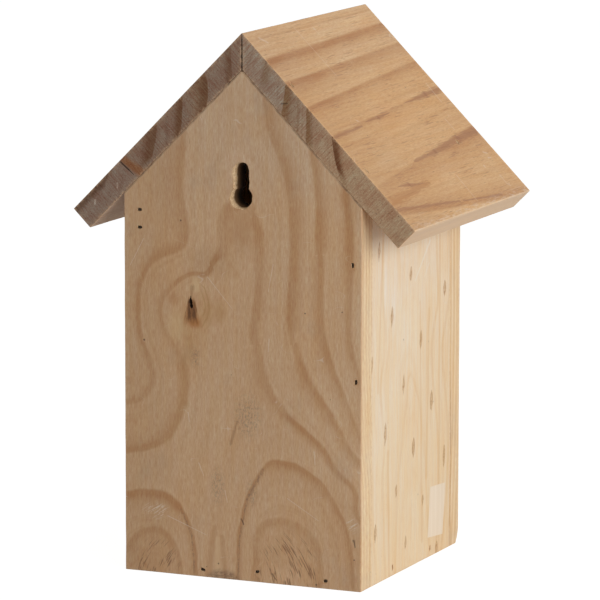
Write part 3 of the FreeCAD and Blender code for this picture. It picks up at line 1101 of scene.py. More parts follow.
def thinner_inside(figure):
    """The same rings with thinner lines below the face, so that they stay fine on the narrow edges."""
    level_at, look_at = figure

    def thin_look(grain):
        share = np.clip(grain[:, 2] / ARRIS_REACH, 0, 1)[:, None]
        return look_at(grain) * (1 + share * (np.array([EDGE_WIDTH, 0.0, EDGE_STRENGTH]) - 1))

    return level_at, thin_look


back_figure = thinner_inside(drawn_figure(BACK_LINES, BACK_TILT))
print("back board:", sum(len(points) for *_, points in BACK_LINES), "line points")

# %% [markdown]
# The keyhole and the knot.
# The keyhole was punched, not drilled: its mouth is chipped and its wall is torn. Its cutter is the
# keyhole outline, repeated at several depths with a little noise that grows towards the mouth. The
# knot has a real split, so a thin ragged wedge is cut there too, and stains are painted round it.

# %% Keyhole and split cutters
KEYHOLE = next(mount for mount in frame["record"]["mounts"] if mount["name"] == "keyhole")
HOLE_RADIUS = KEYHOLE["dims"]["r_mm"]
HOLE_HEIGHT = KEYHOLE["pos_m"][Z] / MM
TORN_TOWARD = np.array([0.9, -0.44])
TORN_SHARE = 2.0
HOLE_SIDES, CROWN_SIDES, SLOT_STEPS, SPLIT_STEPS = 44, 16, 12, 14
SPLIT_TOP = 133.2
SPLIT_FOOT = 126.2
SPLIT_X = 25.8
SPLIT_WIDTH = 1.7
SPLIT_REACH, SPLIT_MARGIN = 3, 2
OUTSIDE = 2.0
PLAY = 0.06
SOCKET_END = 0.5


def slot_size():
    """Half width and end height of the slot above the round hole."""
    points = points_of("back_board")
    above = (points[:, Z] > HOLE_HEIGHT + HOLE_RADIUS) & (points[:, Z] < HOLE_HEIGHT + 4 * HOLE_RADIUS)
    slot = points[above & (np.abs(points[:, X]) < HOLE_RADIUS)]
    return slot[:, X].max(), slot[:, Z].max() - slot[:, X].max()


def keyhole_outline():
    """Points round the keyhole with the outward direction at each, as (x, z)."""
    half, slot_end = slot_size()
    neck = math.asin(half / HOLE_RADIUS)
    turn = np.linspace(math.pi / 2 - neck, neck - 1.5 * math.pi, HOLE_SIDES)
    hole = stacked(np.cos(turn), np.sin(turn))
    crown = np.linspace(math.pi, 0, CROWN_SIDES)
    cap = stacked(np.cos(crown), np.sin(crown))
    rise = np.linspace(hole[-1, 1] * HOLE_RADIUS + HOLE_HEIGHT, slot_end, SLOT_STEPS)[1:-1]
    left = stacked(-half, rise)
    places = [hole * HOLE_RADIUS + (0, HOLE_HEIGHT), left, cap * half + (0, slot_end), left[::-1] * (-1, 1)]
    outward = [hole, left * 0 + (-1, 0), cap, left * 0 + (1, 0)]
    return np.vstack(places), np.vstack(outward)


def keyhole_cutter():
    """The outline at several depths. Noise grows towards the mouth, where the wood is chipped."""
    places, outward = keyhole_outline()
    rings = []
    for depth, rough, flare in ((-OUTSIDE, 0.5, 0.5), (0, 0.5, 0.4), (0.7, 0.35, 0.1), (2.5, 0.25, 0),
                                (6, 0.2, 0), (BOARD - 0.6, 0.25, 0), (BOARD + OUTSIDE, 0.4, 0.3)):
        flat = stacked(*places.T, depth)
        noise = 0.6 * wander(flat * 0.9, seed=5) + 0.5 * wander(flat * 2.3, seed=6)
        chipped = flare * (1 + TORN_SHARE * np.clip(outward @ TORN_TOWARD, 0, 1) ** 2)
        moved = places + outward * (chipped + rough * noise)[:, None]
        rings.append(stacked(moved[:, 0], BACK_FACE - depth, moved[:, 1]))
    return loft(rings)


def split_cutter():
    """Thin ragged wedge in the heart of the knot."""
    share = np.linspace(0, 1, SPLIT_STEPS)[1:-1]
    rings = []
    for depth, size in ((4.0, 0.2), (0.8, 0.8), (0, 1.0), (-OUTSIDE, 1.0)):
        half = 0.5 * SPLIT_WIDTH * size * np.sin(math.pi * share ** 1.6) + 0.06
        half *= 1 + 0.35 * wander(stacked(share * 19, 0, 0), seed=8)
        z = SPLIT_TOP + (SPLIT_FOOT - SPLIT_TOP) * share
        x = SPLIT_X + 0.25 * np.sin(share * 5)
        y = BACK_FACE - depth
        right = stacked(x - half, y, z)
        left = stacked(x + half, y, z)
        rings.append(np.vstack([right, left[::-1]]))
    return loft(rings)


print("slot half width and end height:", [round(x, 2) for x in slot_size()])

# %% Marks of the back board
KNOT_PALE = (0.82, 0.60, 0.32)
KNOT_AMBER = (0.50, 0.27, 0.10)
KNOT_BROWN = (0.20, 0.078, 0.024)
KNOT_RUST = (0.45, 0.165, 0.035)
KNOT_DARK = (0.065, 0.027, 0.011)
NEAR_BLACK = (0.025, 0.016, 0.012)
STAIN = (0.17, 0.088, 0.055)
ARCH_FLECK = (0.21, 0.090, 0.040)
FOOT_PALE = (0.76, 0.52, 0.30)
LEG_TONE = (0.26, 0.15, 0.09)
SEAM_SHADE_TONE = (0.13, 0.075, 0.045)
DUST_TONE = (0.20, 0.15, 0.12)
PAINTED_SHADE_EDGE_LIFT = (1.27, 1.48, 1.59)
GABLE_TONE = (0.97, 1.02, 1.10)
RIM_TONE = (0.93, 0.915, 0.895)
FAR_TONE = (1.05, 1.07, 1.09)
KNOT_HALO = [
    ((33, 118), (8, 10), 0.32, KNOT_PALE), ((23.2, 138), (3, 6), 0.4, KNOT_PALE),
    ((11.5, 126), (4.5, 8), 0.4, KNOT_AMBER), ((17.5, 125.5), (4.5, 9), 0.4, KNOT_AMBER),
    ((34.5, 130.5), (5, 4), 0.3, KNOT_RUST), ((26.6, 108), (4, 13), 0.22, KNOT_AMBER),
]
KNOT_TIP = (25.8, 134.0)
KNOT_FOOT, KNOT_FOOT_REACH = (23.8, 119.8), (5.0, 3.6)
KNOT_HEART, KNOT_REACH = (26, 128), (9.0, 11.5)
FAN_DRIFT, FAN_GROWTH, FAN_WIDEST = 0.03, 0.25, 4.8
BACK_SCRATCHES = [
    ((38, 27.5), (18.3, 20.2), 0.6, 0.4), ((-15.8, 150), (-13.3, 137), 0.5, 0.4),
    ((-23, 41), (-39, 31.7), 0.5, 0.35), ((17.5, 142), (5, 128), 0.5, 0.3),
    ((50, 158), (57, 145), 0.5, 0.35), ((-36.5, 64), (-37, 58), 0.9, 0.6),
    ((27.5, 77.5), (26.7, 73), 0.8, 0.5), ((22, 54), (19.5, 48), 0.7, 0.4),
    ((-13.8, 115), (-13.3, 109), 0.7, 0.4), ((8.6, 42), (7.5, 36.5), 0.7, 0.4),
]
FOOT_LINES = [((17.4, -1), (14.0, 24), 5.5, 3.5), ((8.6, -1), (10.2, 20), 4.0, 3.0)]
UNDER_HOLE, UNDER_HOLE_REACH = (0.5, 167), (11, 17)
BACK_TONES = [
    ((36, 182), (14, 44), (0.94, 0.915, 0.89)), ((0, 163), (11, 15), (0.93, 0.90, 0.875)),
    ((16, 149), (19, 12), (0.89, 0.86, 0.83)), ((26, 118), (15, 32), (0.94, 0.885, 0.80)),
    ((-57, 186), (10, 24), (0.88, 0.83, 0.78)), ((-22, 4), (16, 10), (1.10, 1.12, 1.15)),
    ((-58, 55), (8, 26), (1.07, 1.09, 1.12)), ((42, 18), (19, 22), (0.955, 0.935, 0.91)),
    ((2, 196), (12, 20), (1.05, 1.06, 1.08)), ((-35, 124), (9, 16), (1.04, 1.05, 1.05)),
    ((57, 5), (13, 15), (0.91, 0.88, 0.85)), ((-7, 96), (5, 16), (0.96, 0.93, 0.90)),
]
FOOT_MIDDLE = [((12.6, 1), (12.4, 19), 5.5, 3.5)]
ARCH_LEGS = [
    ((1.9, -1), (1.5, 17), 1.4, 1.6), ((1.5, 17), (-2.6, 39), 1.6, 1.4),
    ((-2.6, 39), (-10.6, 53), 1.4, 2.2), ((24.2, 0), (25.6, 19), 1.6, 1.4),
    ((25.6, 19), (31, 31), 1.4, 1.6),
]
AMBER_RING = [((29.6, 104), (29.2, 82), 5.0, 6.0), ((29.2, 82), (38, 62), 6.0, 5.0)]
NICKS = [
    ((-56.4, 24), (-57.2, 21), 1.5, 0.9), ((0.3, 29.2), (-0.9, 26.8), 1.1, 0.8),
    ((-15.4, 4.6), (-17.6, 1.8), 1.3, 0.8),
]
BACK_STREAKS = [((2.4, 75), (5.6, 64.5), 1.6, 2.4), ((25.2, 136.8), (25.7, 132.4), 2.6, 2.0)]
SMUDGES = [((-3, 78), (10, 15)), ((12.5, 44), (5, 13)), ((-5, 42), (4, 9)), ((24, 104), (4, 7))]
ARCHES = [((-24, 4), (19, 24), -0.22, -0.02), ((44, 3), (14, 16), 0.4, 0.02)]
STAIN_MIDDLE, STAIN_REACH = (9.5, -1.0), (11, 6.5)
SCUFFS = [((44, 29.5), (9, 5)), ((-55.5, 31), (4, 5))]


def oval(grain, middle, reach):
    """Distance from a place on the board's face, 1 on an oval round it."""
    offset = vectors("SUBTRACT", grain, (*middle, 0))
    return vectors("LENGTH", vectors("MULTIPLY", offset, (1 / reach[0], 1 / reach[1], 0)))


def patch(grain, middle, reach, soft=0.8):
    """Soft oval patch on the board's face."""
    return ramp(oval(grain, middle, reach), 1.0, 1.0 - soft)


def lay_tones(grain, colour, tones):
    """Broad soft tones, each (middle, reach, factors), multiplied over a board's colour."""
    for middle, reach, factors in tones:
        colour = toned(colour, patch(grain, middle, reach, 0.9), factors)
    return colour


def arch_flecks(grain, colour, middle, reach, lean, bow):
    """Torn flecks inside an arch: thin dashes of noise that lean more and more with height."""
    offset = parts(vectors("SUBTRACT", grain, (*middle, 0)))
    leaning = times(offset[1], times_plus(offset[1], bow, lean))
    turned = joined(sums("ADD", offset[0], leaning), offset[1])
    dash = speckle(turned, (1.3, 0.13, 1.0), 2.0, 0.6)
    bundle = speckle(turned, (0.2, 0.06, 1.0), 2.0)
    limit = sums("ADD", dash, ramp(bundle, 0.35, 0.65, -0.09, 0.07))
    inside = patch(grain, middle, reach, 0.35)
    colour = lay(colour, inside, 0.1, BACK_LATE)
    return lay(colour, times(inside, ramp(limit, 0.54, 0.66)), 0.7, ARCH_FLECK)


def knot_halo(grain, colour):
    """Pale and amber wood round the knot, with thin arcs on its right."""
    for middle, reach, strength, tone in KNOT_HALO:
        colour = lay(colour, patch(grain, middle, reach), strength, tone)
    around = oval(grain, KNOT_HEART, KNOT_REACH)
    uneven = speckle(grain, (0.25, 0.12, 1.0))
    turn = times_plus(uneven, 1.2, times(around, 4.2))
    turn = sums("PINGPONG", turn, 0.5)
    right = ramp(parts(grain)[0], 22.5, 18.5)
    ring_mask = times(right, ramp(around, 1.35, 1.1))
    return lay(colour, times(ramp(turn, 0.25, 0.05), ring_mask), 0.6, KNOT_AMBER)


def knot_marks(grain, colour):
    """Brown and dark strands that hang below the split, wider and further right as they fall."""
    colour = knot_halo(grain, colour)
    offset = parts(vectors("SUBTRACT", grain, (*KNOT_TIP, 0)))
    fall = times(offset[1], -1.0)
    middle = times_plus(fall, FAN_DRIFT, offset[0])
    half = sums("MINIMUM", times_plus(fall, FAN_GROWTH, 1.2), FAN_WIDEST)
    place = sums("DIVIDE", middle, half)
    fan = joined(times(place, 3.2), times(fall, 0.15))
    strand = speckle(fan, None, 3.0, 0.65)
    spread = times_plus(strand, 0.7, sums("ABSOLUTE", place))
    length = times_plus(strand, 7.0, fall)
    fringe = times(ramp(spread, 1.55, 1.0), ramp(length, 20.5, 16.5))
    fringe = times(fringe, ramp(fall, 1.0, 5.0))
    colour = lay(colour, patch(grain, KNOT_FOOT, KNOT_FOOT_REACH), 0.55, KNOT_RUST)
    colour = lay(colour, fringe, 0.5, KNOT_RUST)
    core = times(ramp(spread, 1.3, 0.85), ramp(length, 19.0, 14.0))
    core = times(core, ramp(fall, 1.5, 4.5))
    colour = lay(colour, core, 0.78, KNOT_BROWN)
    dark = times(ramp(strand, 0.53, 0.45), ramp(fall, 16.0, 9.0))
    return lay(colour, times(core, dark), 0.62, KNOT_DARK)


def roof_seam_shade(grain, colour):
    """Painted shade along the joint under the roof boards, from the distance to the sloping edge."""
    part = parts(grain)
    edge = minus(APEX, times(sums("ABSOLUTE", part[0]), SLOPE))
    gap = times(minus(edge, part[1]), math.cos(PITCH))
    uneven = speckle(grain, (0.25, 0.25, 0.25))
    mask = times(ramp(gap, 1.0, 0.3), ramp(uneven, 0.35, 0.6, 0.35, 0.85))
    return tint(mask, colour, SEAM_SHADE_TONE)


def dirt(grain, colour):
    """Grey smudges, pale scuffs and the stain at the foot."""
    dust = ramp(speckle(grain, (1.3, 0.7, 1.0), 4.0, 0.75), 0.41, 0.69)
    for middle, reach in SMUDGES:
        colour = lay(colour, times(patch(grain, middle, reach), dust), 0.6, DUST_TONE)
    part = parts(grain)
    slanted = joined(times_plus(part[1], 1.6, part[0]), part[1])
    rub = ramp(speckle(slanted, (0.9, 0.3, 1.0), 2.0, 0.6), 0.5, 0.62)
    for middle, reach in SCUFFS:
        colour = lay(colour, times(patch(grain, middle, reach), rub), 0.7, PALE_MARK)
    foot = patch(grain, STAIN_MIDDLE, STAIN_REACH, 0.45)
    ragged = ramp(speckle(grain, (0.4, 0.6, 1.0), 3.0, 0.7), 0.3, 0.65, 0.25, 1.0)
    return lay(colour, times(foot, ragged), 0.75, STAIN)


def back_marks(grain, colour):
    across, along, depth = parts(grain)
    # Painted shade: the back board's colours are darker than its wood, for the face in shade; this lifts
    # the narrow edges back to the lit wood.
    colour = toned(colour, ramp(depth, 0.3, 1.2), PAINTED_SHADE_EDGE_LIFT)
    face = ramp(depth, 1.2, 0.3)
    rim = times(ramp(across, 32.0, 46.0), face)
    colour = toned(colour, rim, RIM_TONE)
    far = times(ramp(across, -20.0, -45.0), ramp(along, 30.0, 60.0))
    colour = toned(colour, times(far, face), FAR_TONE)
    colour = toned(colour, ramp(along, 165.0, 210.0), GABLE_TONE)
    colour = lay_tones(grain, colour, BACK_TONES)
    colour = lay(colour, patch(grain, UNDER_HOLE, UNDER_HOLE_REACH), 0.4, BACK_LATE)
    colour = lay_strokes(grain, colour, FOOT_LINES, BACK_LATE, 0.42)
    colour = lay_strokes(grain, colour, FOOT_MIDDLE, FOOT_PALE, 0.65)
    colour = lay_strokes(grain, colour, AMBER_RING, KNOT_AMBER, 0.22)
    spots = ramp(speckle(grain, (0.9, 0.55, 1.0), 3.0, 0.7), 0.42, 0.62, 0.12, 0.6)
    colour = lay_strokes(grain, colour, ARCH_LEGS, LEG_TONE, spots, 1.1)
    colour = lay_strokes(grain, colour, NICKS, NEAR_BLACK, 0.6, 0.8)
    for arch in ARCHES:
        colour = arch_flecks(grain, colour, *arch)
    colour = dirt(grain, colour)
    colour = knot_marks(grain, colour)
    colour = lay_strokes(grain, colour, BACK_STREAKS, KNOT_BROWN, 0.32, 0.8)
    # Painted shade along the joint under the roof boards.
    colour = roof_seam_shade(grain, colour)
    return lay_strokes(grain, colour, BACK_SCRATCHES, PALE_MARK, 0.42)


print("smudges:", len(SMUDGES), "scratches:", len(BACK_SCRATCHES))

# %% Build the back board
# Darker than the wood itself: painted shade of the back face, lifted again on the edges in back_marks.
BACK_EARLY = (0.70, 0.460, 0.275)
BACK_LATE = (0.52, 0.270, 0.122)
BACK_SIZE = (2 * HALF_WIDTH, APEX, BOARD)
GABLE_STOPS = (0, HALF_WIDTH, 2 * HALF_WIDTH)
FOOT_TURNS = (0.5, 0.6, -0.3)


def fold_back(block):
    x = block[:, 0] - HALF_WIDTH
    return stacked(x, BACK_FACE - block[:, 2], block[:, 1] * roofline(x) / APEX)


def back_grain(points):
    return stacked(points[:, X], points[:, Z], BACK_FACE - points[:, Y])


back_cutters = [keyhole_cutter(), split_cutter()]
for group in ("brads_back_to_side", "brad_short"):
    back_cutters += pockets(group, BACKWARD)
back_cutters += pockets("brads_back_to_floor", BACKWARD, FOOT_TURNS)
back_cutters.append(slot_pocket("pivot_nail_rear", "brad_short", BACKWARD))
back_pine = pine("pine_of_back", BACK_EARLY, BACK_LATE, pores=0.2, streaks=0.08, grit=0.2, specks=0.75,
                 extra=back_marks)
back = make_plank("back_board", "box", BACK_SIZE, fold_back, back_grain, back_figure,
                  [back_pine, PLAIN_END, PUNCHED_WOOD, SHADED_CRACK], UPRIGHT, back_cutters,
                  step=1.7, seed=21, stops=GABLE_STOPS)
# The split's walls get the crack material, dark from the mouth on as painted shade.
for face in back.data.polygons:
    beside = abs(face.center.x / MM - SPLIT_X) < SPLIT_REACH
    level = SPLIT_FOOT - SPLIT_MARGIN < face.center.z / MM < SPLIT_TOP + SPLIT_MARGIN
    if face.material_index == TORN and beside and level:
        face.material_index = EXTRA

# %% [markdown]
# The fixed side.
# This board is paler and straighter, with a faint arch and a scatter of small lens shaped resin
# flecks. The flecks are one node group placed once for each, at places given as (distance from the
# back, height). Soft orange stripes and one broad pale scratch are strokes.

# %% Build the left side
SIDE_EARLY = (0.92, 0.765, 0.585)
SIDE_RICH = (1.0, 0.955, 0.86)
SIDE_LATE = (0.80, 0.54, 0.28)
FLECK_TONE = (0.62, 0.36, 0.15)
FLECK_DARK = (0.40, 0.185, 0.066)
STRIPE_TONE = (0.76, 0.45, 0.18)
SCRATCH_TONE = (0.95, 0.87, 0.76)
SIDE_WARM = (0.99, 0.945, 0.855)
# Painted light under the eave, lifting the eave's shadow.
EAVE_SHADOW_LIFT = (1.05, 1.10, 1.16)
FAINT, SOFT = (3.0, 0.3, 0.35), (3.5, 0.0, 0.45)
SIDE_LINES = [
    (1, FAINT, [(41.7, 0), (41.7, 13), (44, 40), (48.3, 60), (54, 79), (61.7, 90), (69, 79), (73.3, 65)]),
    (1, FAINT, [(78, 45), (80, 30), (82, 0)]),
    (2, SOFT, [(29, 0), (25, 50), (22, 93), (25, 130), (27, 170)]),
    (2, SOFT, [(92, 0), (93, 60), (92, 120), (90, 190)]),
    (3, (2.0, 0.2, 0.15), [(19, 0), (15, 60), (14, 110), (19, 190)]),
    (3, SOFT, [(98.5, 0), (98.5, 100), (97.5, 190)]),
    (1.4, None, [(60, 140), (58, 190)]),
    (0.4, None, [(60, 20)]),
]
SIDE_FLECKS = [
    (20.3, 155.8, 1.3, 5.0), (58.6, 140, 1.5, 3.6), (36.1, 123, 1.5, 5.2), (100.6, 127, 1.8, 4.2),
    (71.2, 107, 1.5, 4.8), (50.3, 89, 1.2, 5.2), (84.8, 75.5, 1.8, 5.2), (28.6, 69.2, 1.4, 6.0),
    (62.8, 56.7, 1.7, 5.2), (101.0, 45.8, 1.4, 5.8), (42.0, 39.7, 0.9, 3.4), (17.0, 24.2, 1.4, 4.8),
    (74.5, 29.2, 1.0, 3.0), (53.6, 12.8, 1.2, 3.6), (92.2, 2.5, 1.5, 3.8), (12.4, 104, 0.9, 4.4),
]
SIDE_STRIPES = [
    ((95, -5), (94, 185), 3.0, 4.0), ((25, 160), (19.5, 90), 3.0, 2.4),
    ((81.5, 120), (79, 40), 2.0, 5.0), ((70, 125), (74, 10), 2.0, 4.0), ((32, 60), (34, 0), 3.0, 4.0),
]
SIDE_SCRATCHES = [
    ((82, 152.5), (64, 136), 2.0, 1.0), ((81, 142), (75, 136), 0.9, 0.5),
    ((88, 118), (88, 110), 0.6, 0.5), ((33, 122), (34, 112), 0.5, 0.4),
]
SIDE_TONES = [
    ((34, 142), (16, 30), (1.02, 1.09, 1.22)), ((22, 52), (13, 48), (1.02, 1.07, 1.16)),
    ((46, 122), (18, 50), (1.0, 1.03, 1.08)), ((80, 98), (14, 54), (0.98, 0.945, 0.90)),
    ((103, 92), (9, 90), (0.985, 0.95, 0.905)), ((95, 8), (20, 20), (0.98, 0.94, 0.885)),
]
SIDE_SIZE = (BACK_INNER - FRONT_INNER, roofline(HALF_WIDTH - BOARD), BOARD)


def fold_left(block):
    x = block[:, 2] - HALF_WIDTH
    return stacked(x, BACK_INNER - block[:, 0], block[:, 1] * roofline(x) / SIDE_SIZE[1])


def left_grain(points):
    return stacked(BACK_FACE - points[:, Y], points[:, Z], points[:, X] + HALF_WIDTH)


def side_marks(grain, colour):
    height = parts(grain)[1]
    colour = toned(colour, ramp(height, 170.0, 0.0), SIDE_WARM)
    # Painted light: the wood is made paler and cooler just under the eave, to lift the eave's shadow.
    colour = toned(colour, ramp(height, 150.0, 166.0), EAVE_SHADOW_LIFT)
    colour = lay_tones(grain, colour, SIDE_TONES)
    colour = lay_strokes(grain, colour, SIDE_STRIPES, STRIPE_TONE, 0.34, 0.5)
    flat = vectors("MULTIPLY", grain, (1, 1, 0))
    for across, along, half_width, half_length in SIDE_FLECKS:
        fleck = use_group("resin_fleck", {"Grain": flat, "Middle": (across, along, 0),
                                          "Half Width": half_width, "Half Length": half_length})
        colour = lay(colour, fleck["Body"], 0.5, FLECK_TONE)
        colour = lay(colour, fleck["Dark"], 0.6, FLECK_DARK)
    return lay_strokes(grain, colour, SIDE_SCRATCHES, SCRATCH_TONE, 0.6)


left_pine = pine("pine_of_left_side", SIDE_EARLY, SIDE_LATE, pores=0.15, smudge=0.0, streaks=0.05,
                 grit=0.05, rich=SIDE_RICH, extra=side_marks)
make_plank("left_side", "box", SIDE_SIZE, fold_left, left_grain,
           drawn_figure(SIDE_LINES, tilt=0.05), [left_pine, PLAIN_END, DRILLED_WOOD], UPRIGHT,
           pockets("brads_side_to_floor", LEFTWARD), seed=31)

# %% [markdown]
# The front board.
# The photograph shows only its narrow edge. The face is drawn as such boards are: a plain cathedral
# of arches, here a formula, with the round entrance cut through it and the foot rounded over. The
# rounding is part of the fold, which presses the lower front of the block back along an arc.

# %% Build the front board
FRONT_EARLY = (0.96, 0.77, 0.535)
FRONT_LATE = (0.76, 0.48, 0.22)
RESIN = (0.48, 0.22, 0.065)
ARCH_RISE = 110.0
ARCH_CURVE = 0.11
FRONT_TILT = 0.24
DOORWAY_SIDES, ROD_SIDES = 72, 18
SWING, SWING_LENGTH, SWING_START = 5, 47, 2
TOE_RADIUS = (TOE_DEPTH ** 2 + TOE_HEIGHT ** 2) / (2 * TOE_DEPTH)
ENTRANCE = next(box for box in frame["record"]["physics"]["openings"] if box["name"] == "entrance")
ENTRANCE_HEIGHT = (ENTRANCE["box_m"][0][Z] + ENTRANCE["box_m"][1][Z]) / 2 / MM


def entrance_radius():
    """Radius of the doorway, from the front board's points near its middle."""
    points = points_of("front_board")
    away = np.hypot(points[:, X], points[:, Z] - ENTRANCE_HEIGHT)
    return away.min()


def entrance_cutter():
    """Drilled hole: clean inside, slightly broken at both mouths."""
    radius = entrance_radius()
    turn = full_turn(DOORWAY_SIDES)
    rings = []
    for depth, flare, rough in ((-OUTSIDE, 0.7, 0.12), (0, 0.5, 0.12), (0.6, 0.0, 0.04),
                                (BOARD - 0.7, 0.0, 0.05), (BOARD, 0.5, 0.25), (BOARD + OUTSIDE, 0.8, 0.3)):
        circle = stacked(np.cos(turn) * 6, np.sin(turn) * 6, depth)
        size = radius + flare + rough * wander(circle, seed=14)
        x = size * np.cos(turn)
        z = ENTRANCE_HEIGHT + size * np.sin(turn)
        rings.append(stacked(x, FRONT_FACE + depth, z))
    return loft(rings)


def rod_cutter(start, end, radius):
    """Plain round hole between two points, in millimetres."""
    way = Vector(end) - Vector(start)
    side = way.orthogonal().normalized()
    other = way.normalized().cross(side)
    turn = full_turn(ROD_SIDES)
    circle = radius * (np.outer(np.cos(turn), side) + np.outer(np.sin(turn), other))
    return loft([circle + np.array(start), circle + np.array(end)])


def toe_press(z):
    """How far the rounded foot lies behind the front face at a height."""
    below = np.clip(TOE_HEIGHT - z, 0, None)
    return TOE_RADIUS - np.sqrt(TOE_RADIUS ** 2 - below ** 2)


def fold_front(block):
    x = block[:, 0] - HALF_WIDTH
    z = block[:, 1] * roofline(x) / APEX
    press = toe_press(z)
    y = FRONT_FACE + press + block[:, 2] * (1 - press / BOARD)
    return stacked(x, y, z)


def front_grain(points):
    return stacked(points[:, X], points[:, Z], points[:, Y] - FRONT_FACE)


def front_rings(grain):
    across, along, depth = grain.T
    swing = SWING * np.sin(along / SWING_LENGTH) + SWING_START
    return (along + ARCH_CURVE * (across - swing) ** 2) / ARCH_RISE + FRONT_TILT * depth


def front_marks(grain, colour):
    """One dark resin line down the narrow edge, broken towards the foot."""
    along, depth = parts(grain)[1:]
    line = times(ramp(depth, 9.9, 10.5), ramp(depth, 11.4, 10.8))
    line = times(line, ramp(along, 92.0, 74.0))
    broken = ramp(speckle(grain, (0.6, 0.2, 1.2)), 0.30, 0.55)
    return lay(colour, times(line, broken), 0.8, RESIN)


HOOK_LOW, HOOK_HIGH = lowest("door_hook"), highest("door_hook")
HOOK_WIRE = HOOK_HIGH[Y] - HOOK_LOW[Y]
HOOK_Y = (HOOK_HIGH[Y] + HOOK_LOW[Y]) / 2
HOOK_Z = HOOK_HIGH[Z] - HOOK_WIRE / 2
socket_end = (HOOK_LOW[X] - SOCKET_END, HOOK_Y, HOOK_Z)
socket_mouth = (HALF_WIDTH + OUTSIDE, HOOK_Y, HOOK_Z)
front_cutters = [entrance_cutter(), rod_cutter(socket_end, socket_mouth, HOOK_WIRE / 2 + PLAY)]
for group in ("brads_front_to_side", "brads_front_to_floor", "pivot_nail_front"):
    front_cutters += pockets(group, FORWARD)
front_pine = pine("pine_of_front", FRONT_EARLY, FRONT_LATE, pores=0.3, extra=front_marks)
make_plank("front_board", "box", BACK_SIZE, fold_front, front_grain,
           even_figure(front_rings, width=2.6, lean=0.6, strength=0.7),
           [front_pine, PLAIN_END, DRILLED_WOOD], UPRIGHT, front_cutters,
           step=2.0, seed=41, stops=GABLE_STOPS)

# %% [markdown]
# The cleaning door and the floor.
# The door is the other side wall, a little shorter, hung on two nails near its top so that its foot
# swings out. It rides on its own body, and the bores for the nails are cut into its edges. The floor
# lies between the walls. Both take plain straight grain from short lists of lines.

# %% Build the door
DOOR_LOW, DOOR_HIGH = lowest("right_side_door"), highest("right_side_door")
DOOR_LOOK = (3.0, 0.5, 0.5)
DOOR_RINGS = [
    [(8, 0), (6, 90), (9, 190)], [(19, 0), (17, 70), (21, 130), (18, 190)],
    [(35, 0), (33, 60), (38, 120), (33, 190)], [(58, 0), (55, 80), (59, 140), (54, 190)],
    [(80, 0), (78, 90), (79, 190)], [(96, 0), (95, 90), (97, 190)], [(108, 0), (109, 90), (107, 190)],
]
DOOR_LINES = [(number, DOOR_LOOK, points) for number, points in enumerate(DOOR_RINGS)]
DOOR_EARLY = (0.84, 0.65, 0.43)
DOOR_LATE = (0.70, 0.46, 0.24)
DOOR_SIZE = (DOOR_HIGH[Y] - DOOR_LOW[Y], roofline(HALF_WIDTH - BOARD) - DOOR_DROP - DOOR_FOOT, BOARD)
NAIL_BORE = 14.0


def fold_door(block):
    x = HALF_WIDTH - block[:, 2]
    rise = (roofline(x) - DOOR_DROP - DOOR_FOOT) / DOOR_SIZE[1]
    return stacked(x, DOOR_HIGH[Y] - block[:, 0], DOOR_FOOT + block[:, 1] * rise)


def door_grain(points):
    return stacked(BACK_FACE - points[:, Y], points[:, Z], HALF_WIDTH - points[:, X])


def nail_bore(node):
    """Bore in the door for a pivot nail: its shank's radius and axis come from the nail."""
    points = points_of(node)
    middle = (points.min(axis=0) + points.max(axis=0)) / 2
    shank = points[(points[:, Y] > DOOR_LOW[Y]) & (points[:, Y] < DOOR_HIGH[Y])]
    radius = np.hypot(shank[:, X] - middle[X], shank[:, Z] - middle[Z]).max() + PLAY
    end = DOOR_HIGH[Y] if middle[Y] > 0 else DOOR_LOW[Y]
    inward = -1 if middle[Y] > 0 else 1
    start = (middle[X], end - inward * OUTSIDE, middle[Z])
    return rod_cutter(start, (middle[X], end + inward * NAIL_BORE, middle[Z]), radius)


door_pine = pine("pine_of_door", DOOR_EARLY, DOOR_LATE, pores=0.2, smudge=0.2)
door_bores = [nail_bore("pivot_nail_rear"), nail_bore("pivot_nail_front")]
make_plank("right_side_door", "door", DOOR_SIZE, fold_door, door_grain,
           drawn_figure(DOOR_LINES, tilt=0.06), [door_pine, PLAIN_END, DRILLED_WOOD], UPRIGHT,
           door_bores, seed=51)

# %% Build the floor
FLOOR_LOW, FLOOR_HIGH = lowest("floor_board"), highest("floor_board")
FLOOR_BLOCK = tuple(FLOOR_HIGH - FLOOR_LOW)
FLOOR_LOOK = (3.0, 0.5, 0.6)
FLOOR_RINGS = [
    [(4, 0), (6, 96)], [(16, 0), (19, 50), (17, 96)], [(33, 0), (37, 50), (33, 96)],
    [(55, 0), (58, 50), (55, 96)], [(74, 0), (75, 96)], [(89, 0), (88, 96)],
]
FLOOR_LINES = [(number, FLOOR_LOOK, points) for number, points in enumerate(FLOOR_RINGS)]
FLOOR_EARLY = (0.78, 0.58, 0.37)
FLOOR_LATE = (0.62, 0.38, 0.19)


def fold_floor(block):
    return block + FLOOR_LOW


def floor_grain(points):
    return points - FLOOR_LOW


floor_pine = pine("pine_of_floor", FLOOR_EARLY, FLOOR_LATE)
make_plank("floor_board", "box", FLOOR_BLOCK, fold_floor, floor_grain,
           drawn_figure(FLOOR_LINES, tilt=0.08), [floor_pine, PLAIN_END, DRILLED_WOOD], BACKWARD,
           step=2.6, seed=61)

# %% [markdown]
# The roof boards.
# Both are cut from wider rings, so their lines run almost straight from back to front, and the same
# rings slope through the thickness and show as dark slanted bands on the sawn ends. Each line is its
# place at the rear and at the front, its drift with depth, and how strong it is at either end.

# %% Roof recipe
MITRE_OPENS = 2.5
MITRE_CLOSES = 30.0
MITRE_FACING = -0.9
CLOSED_REACH = 10.0
RING_WOBBLE = 1.2
RING_CRISP = 0.6
RING_FADE = 0.3
MITRE_SHADE_GROUND = (0.07, 0.045, 0.03)
MITRE_SHADE_LATE = (0.03, 0.02, 0.014)


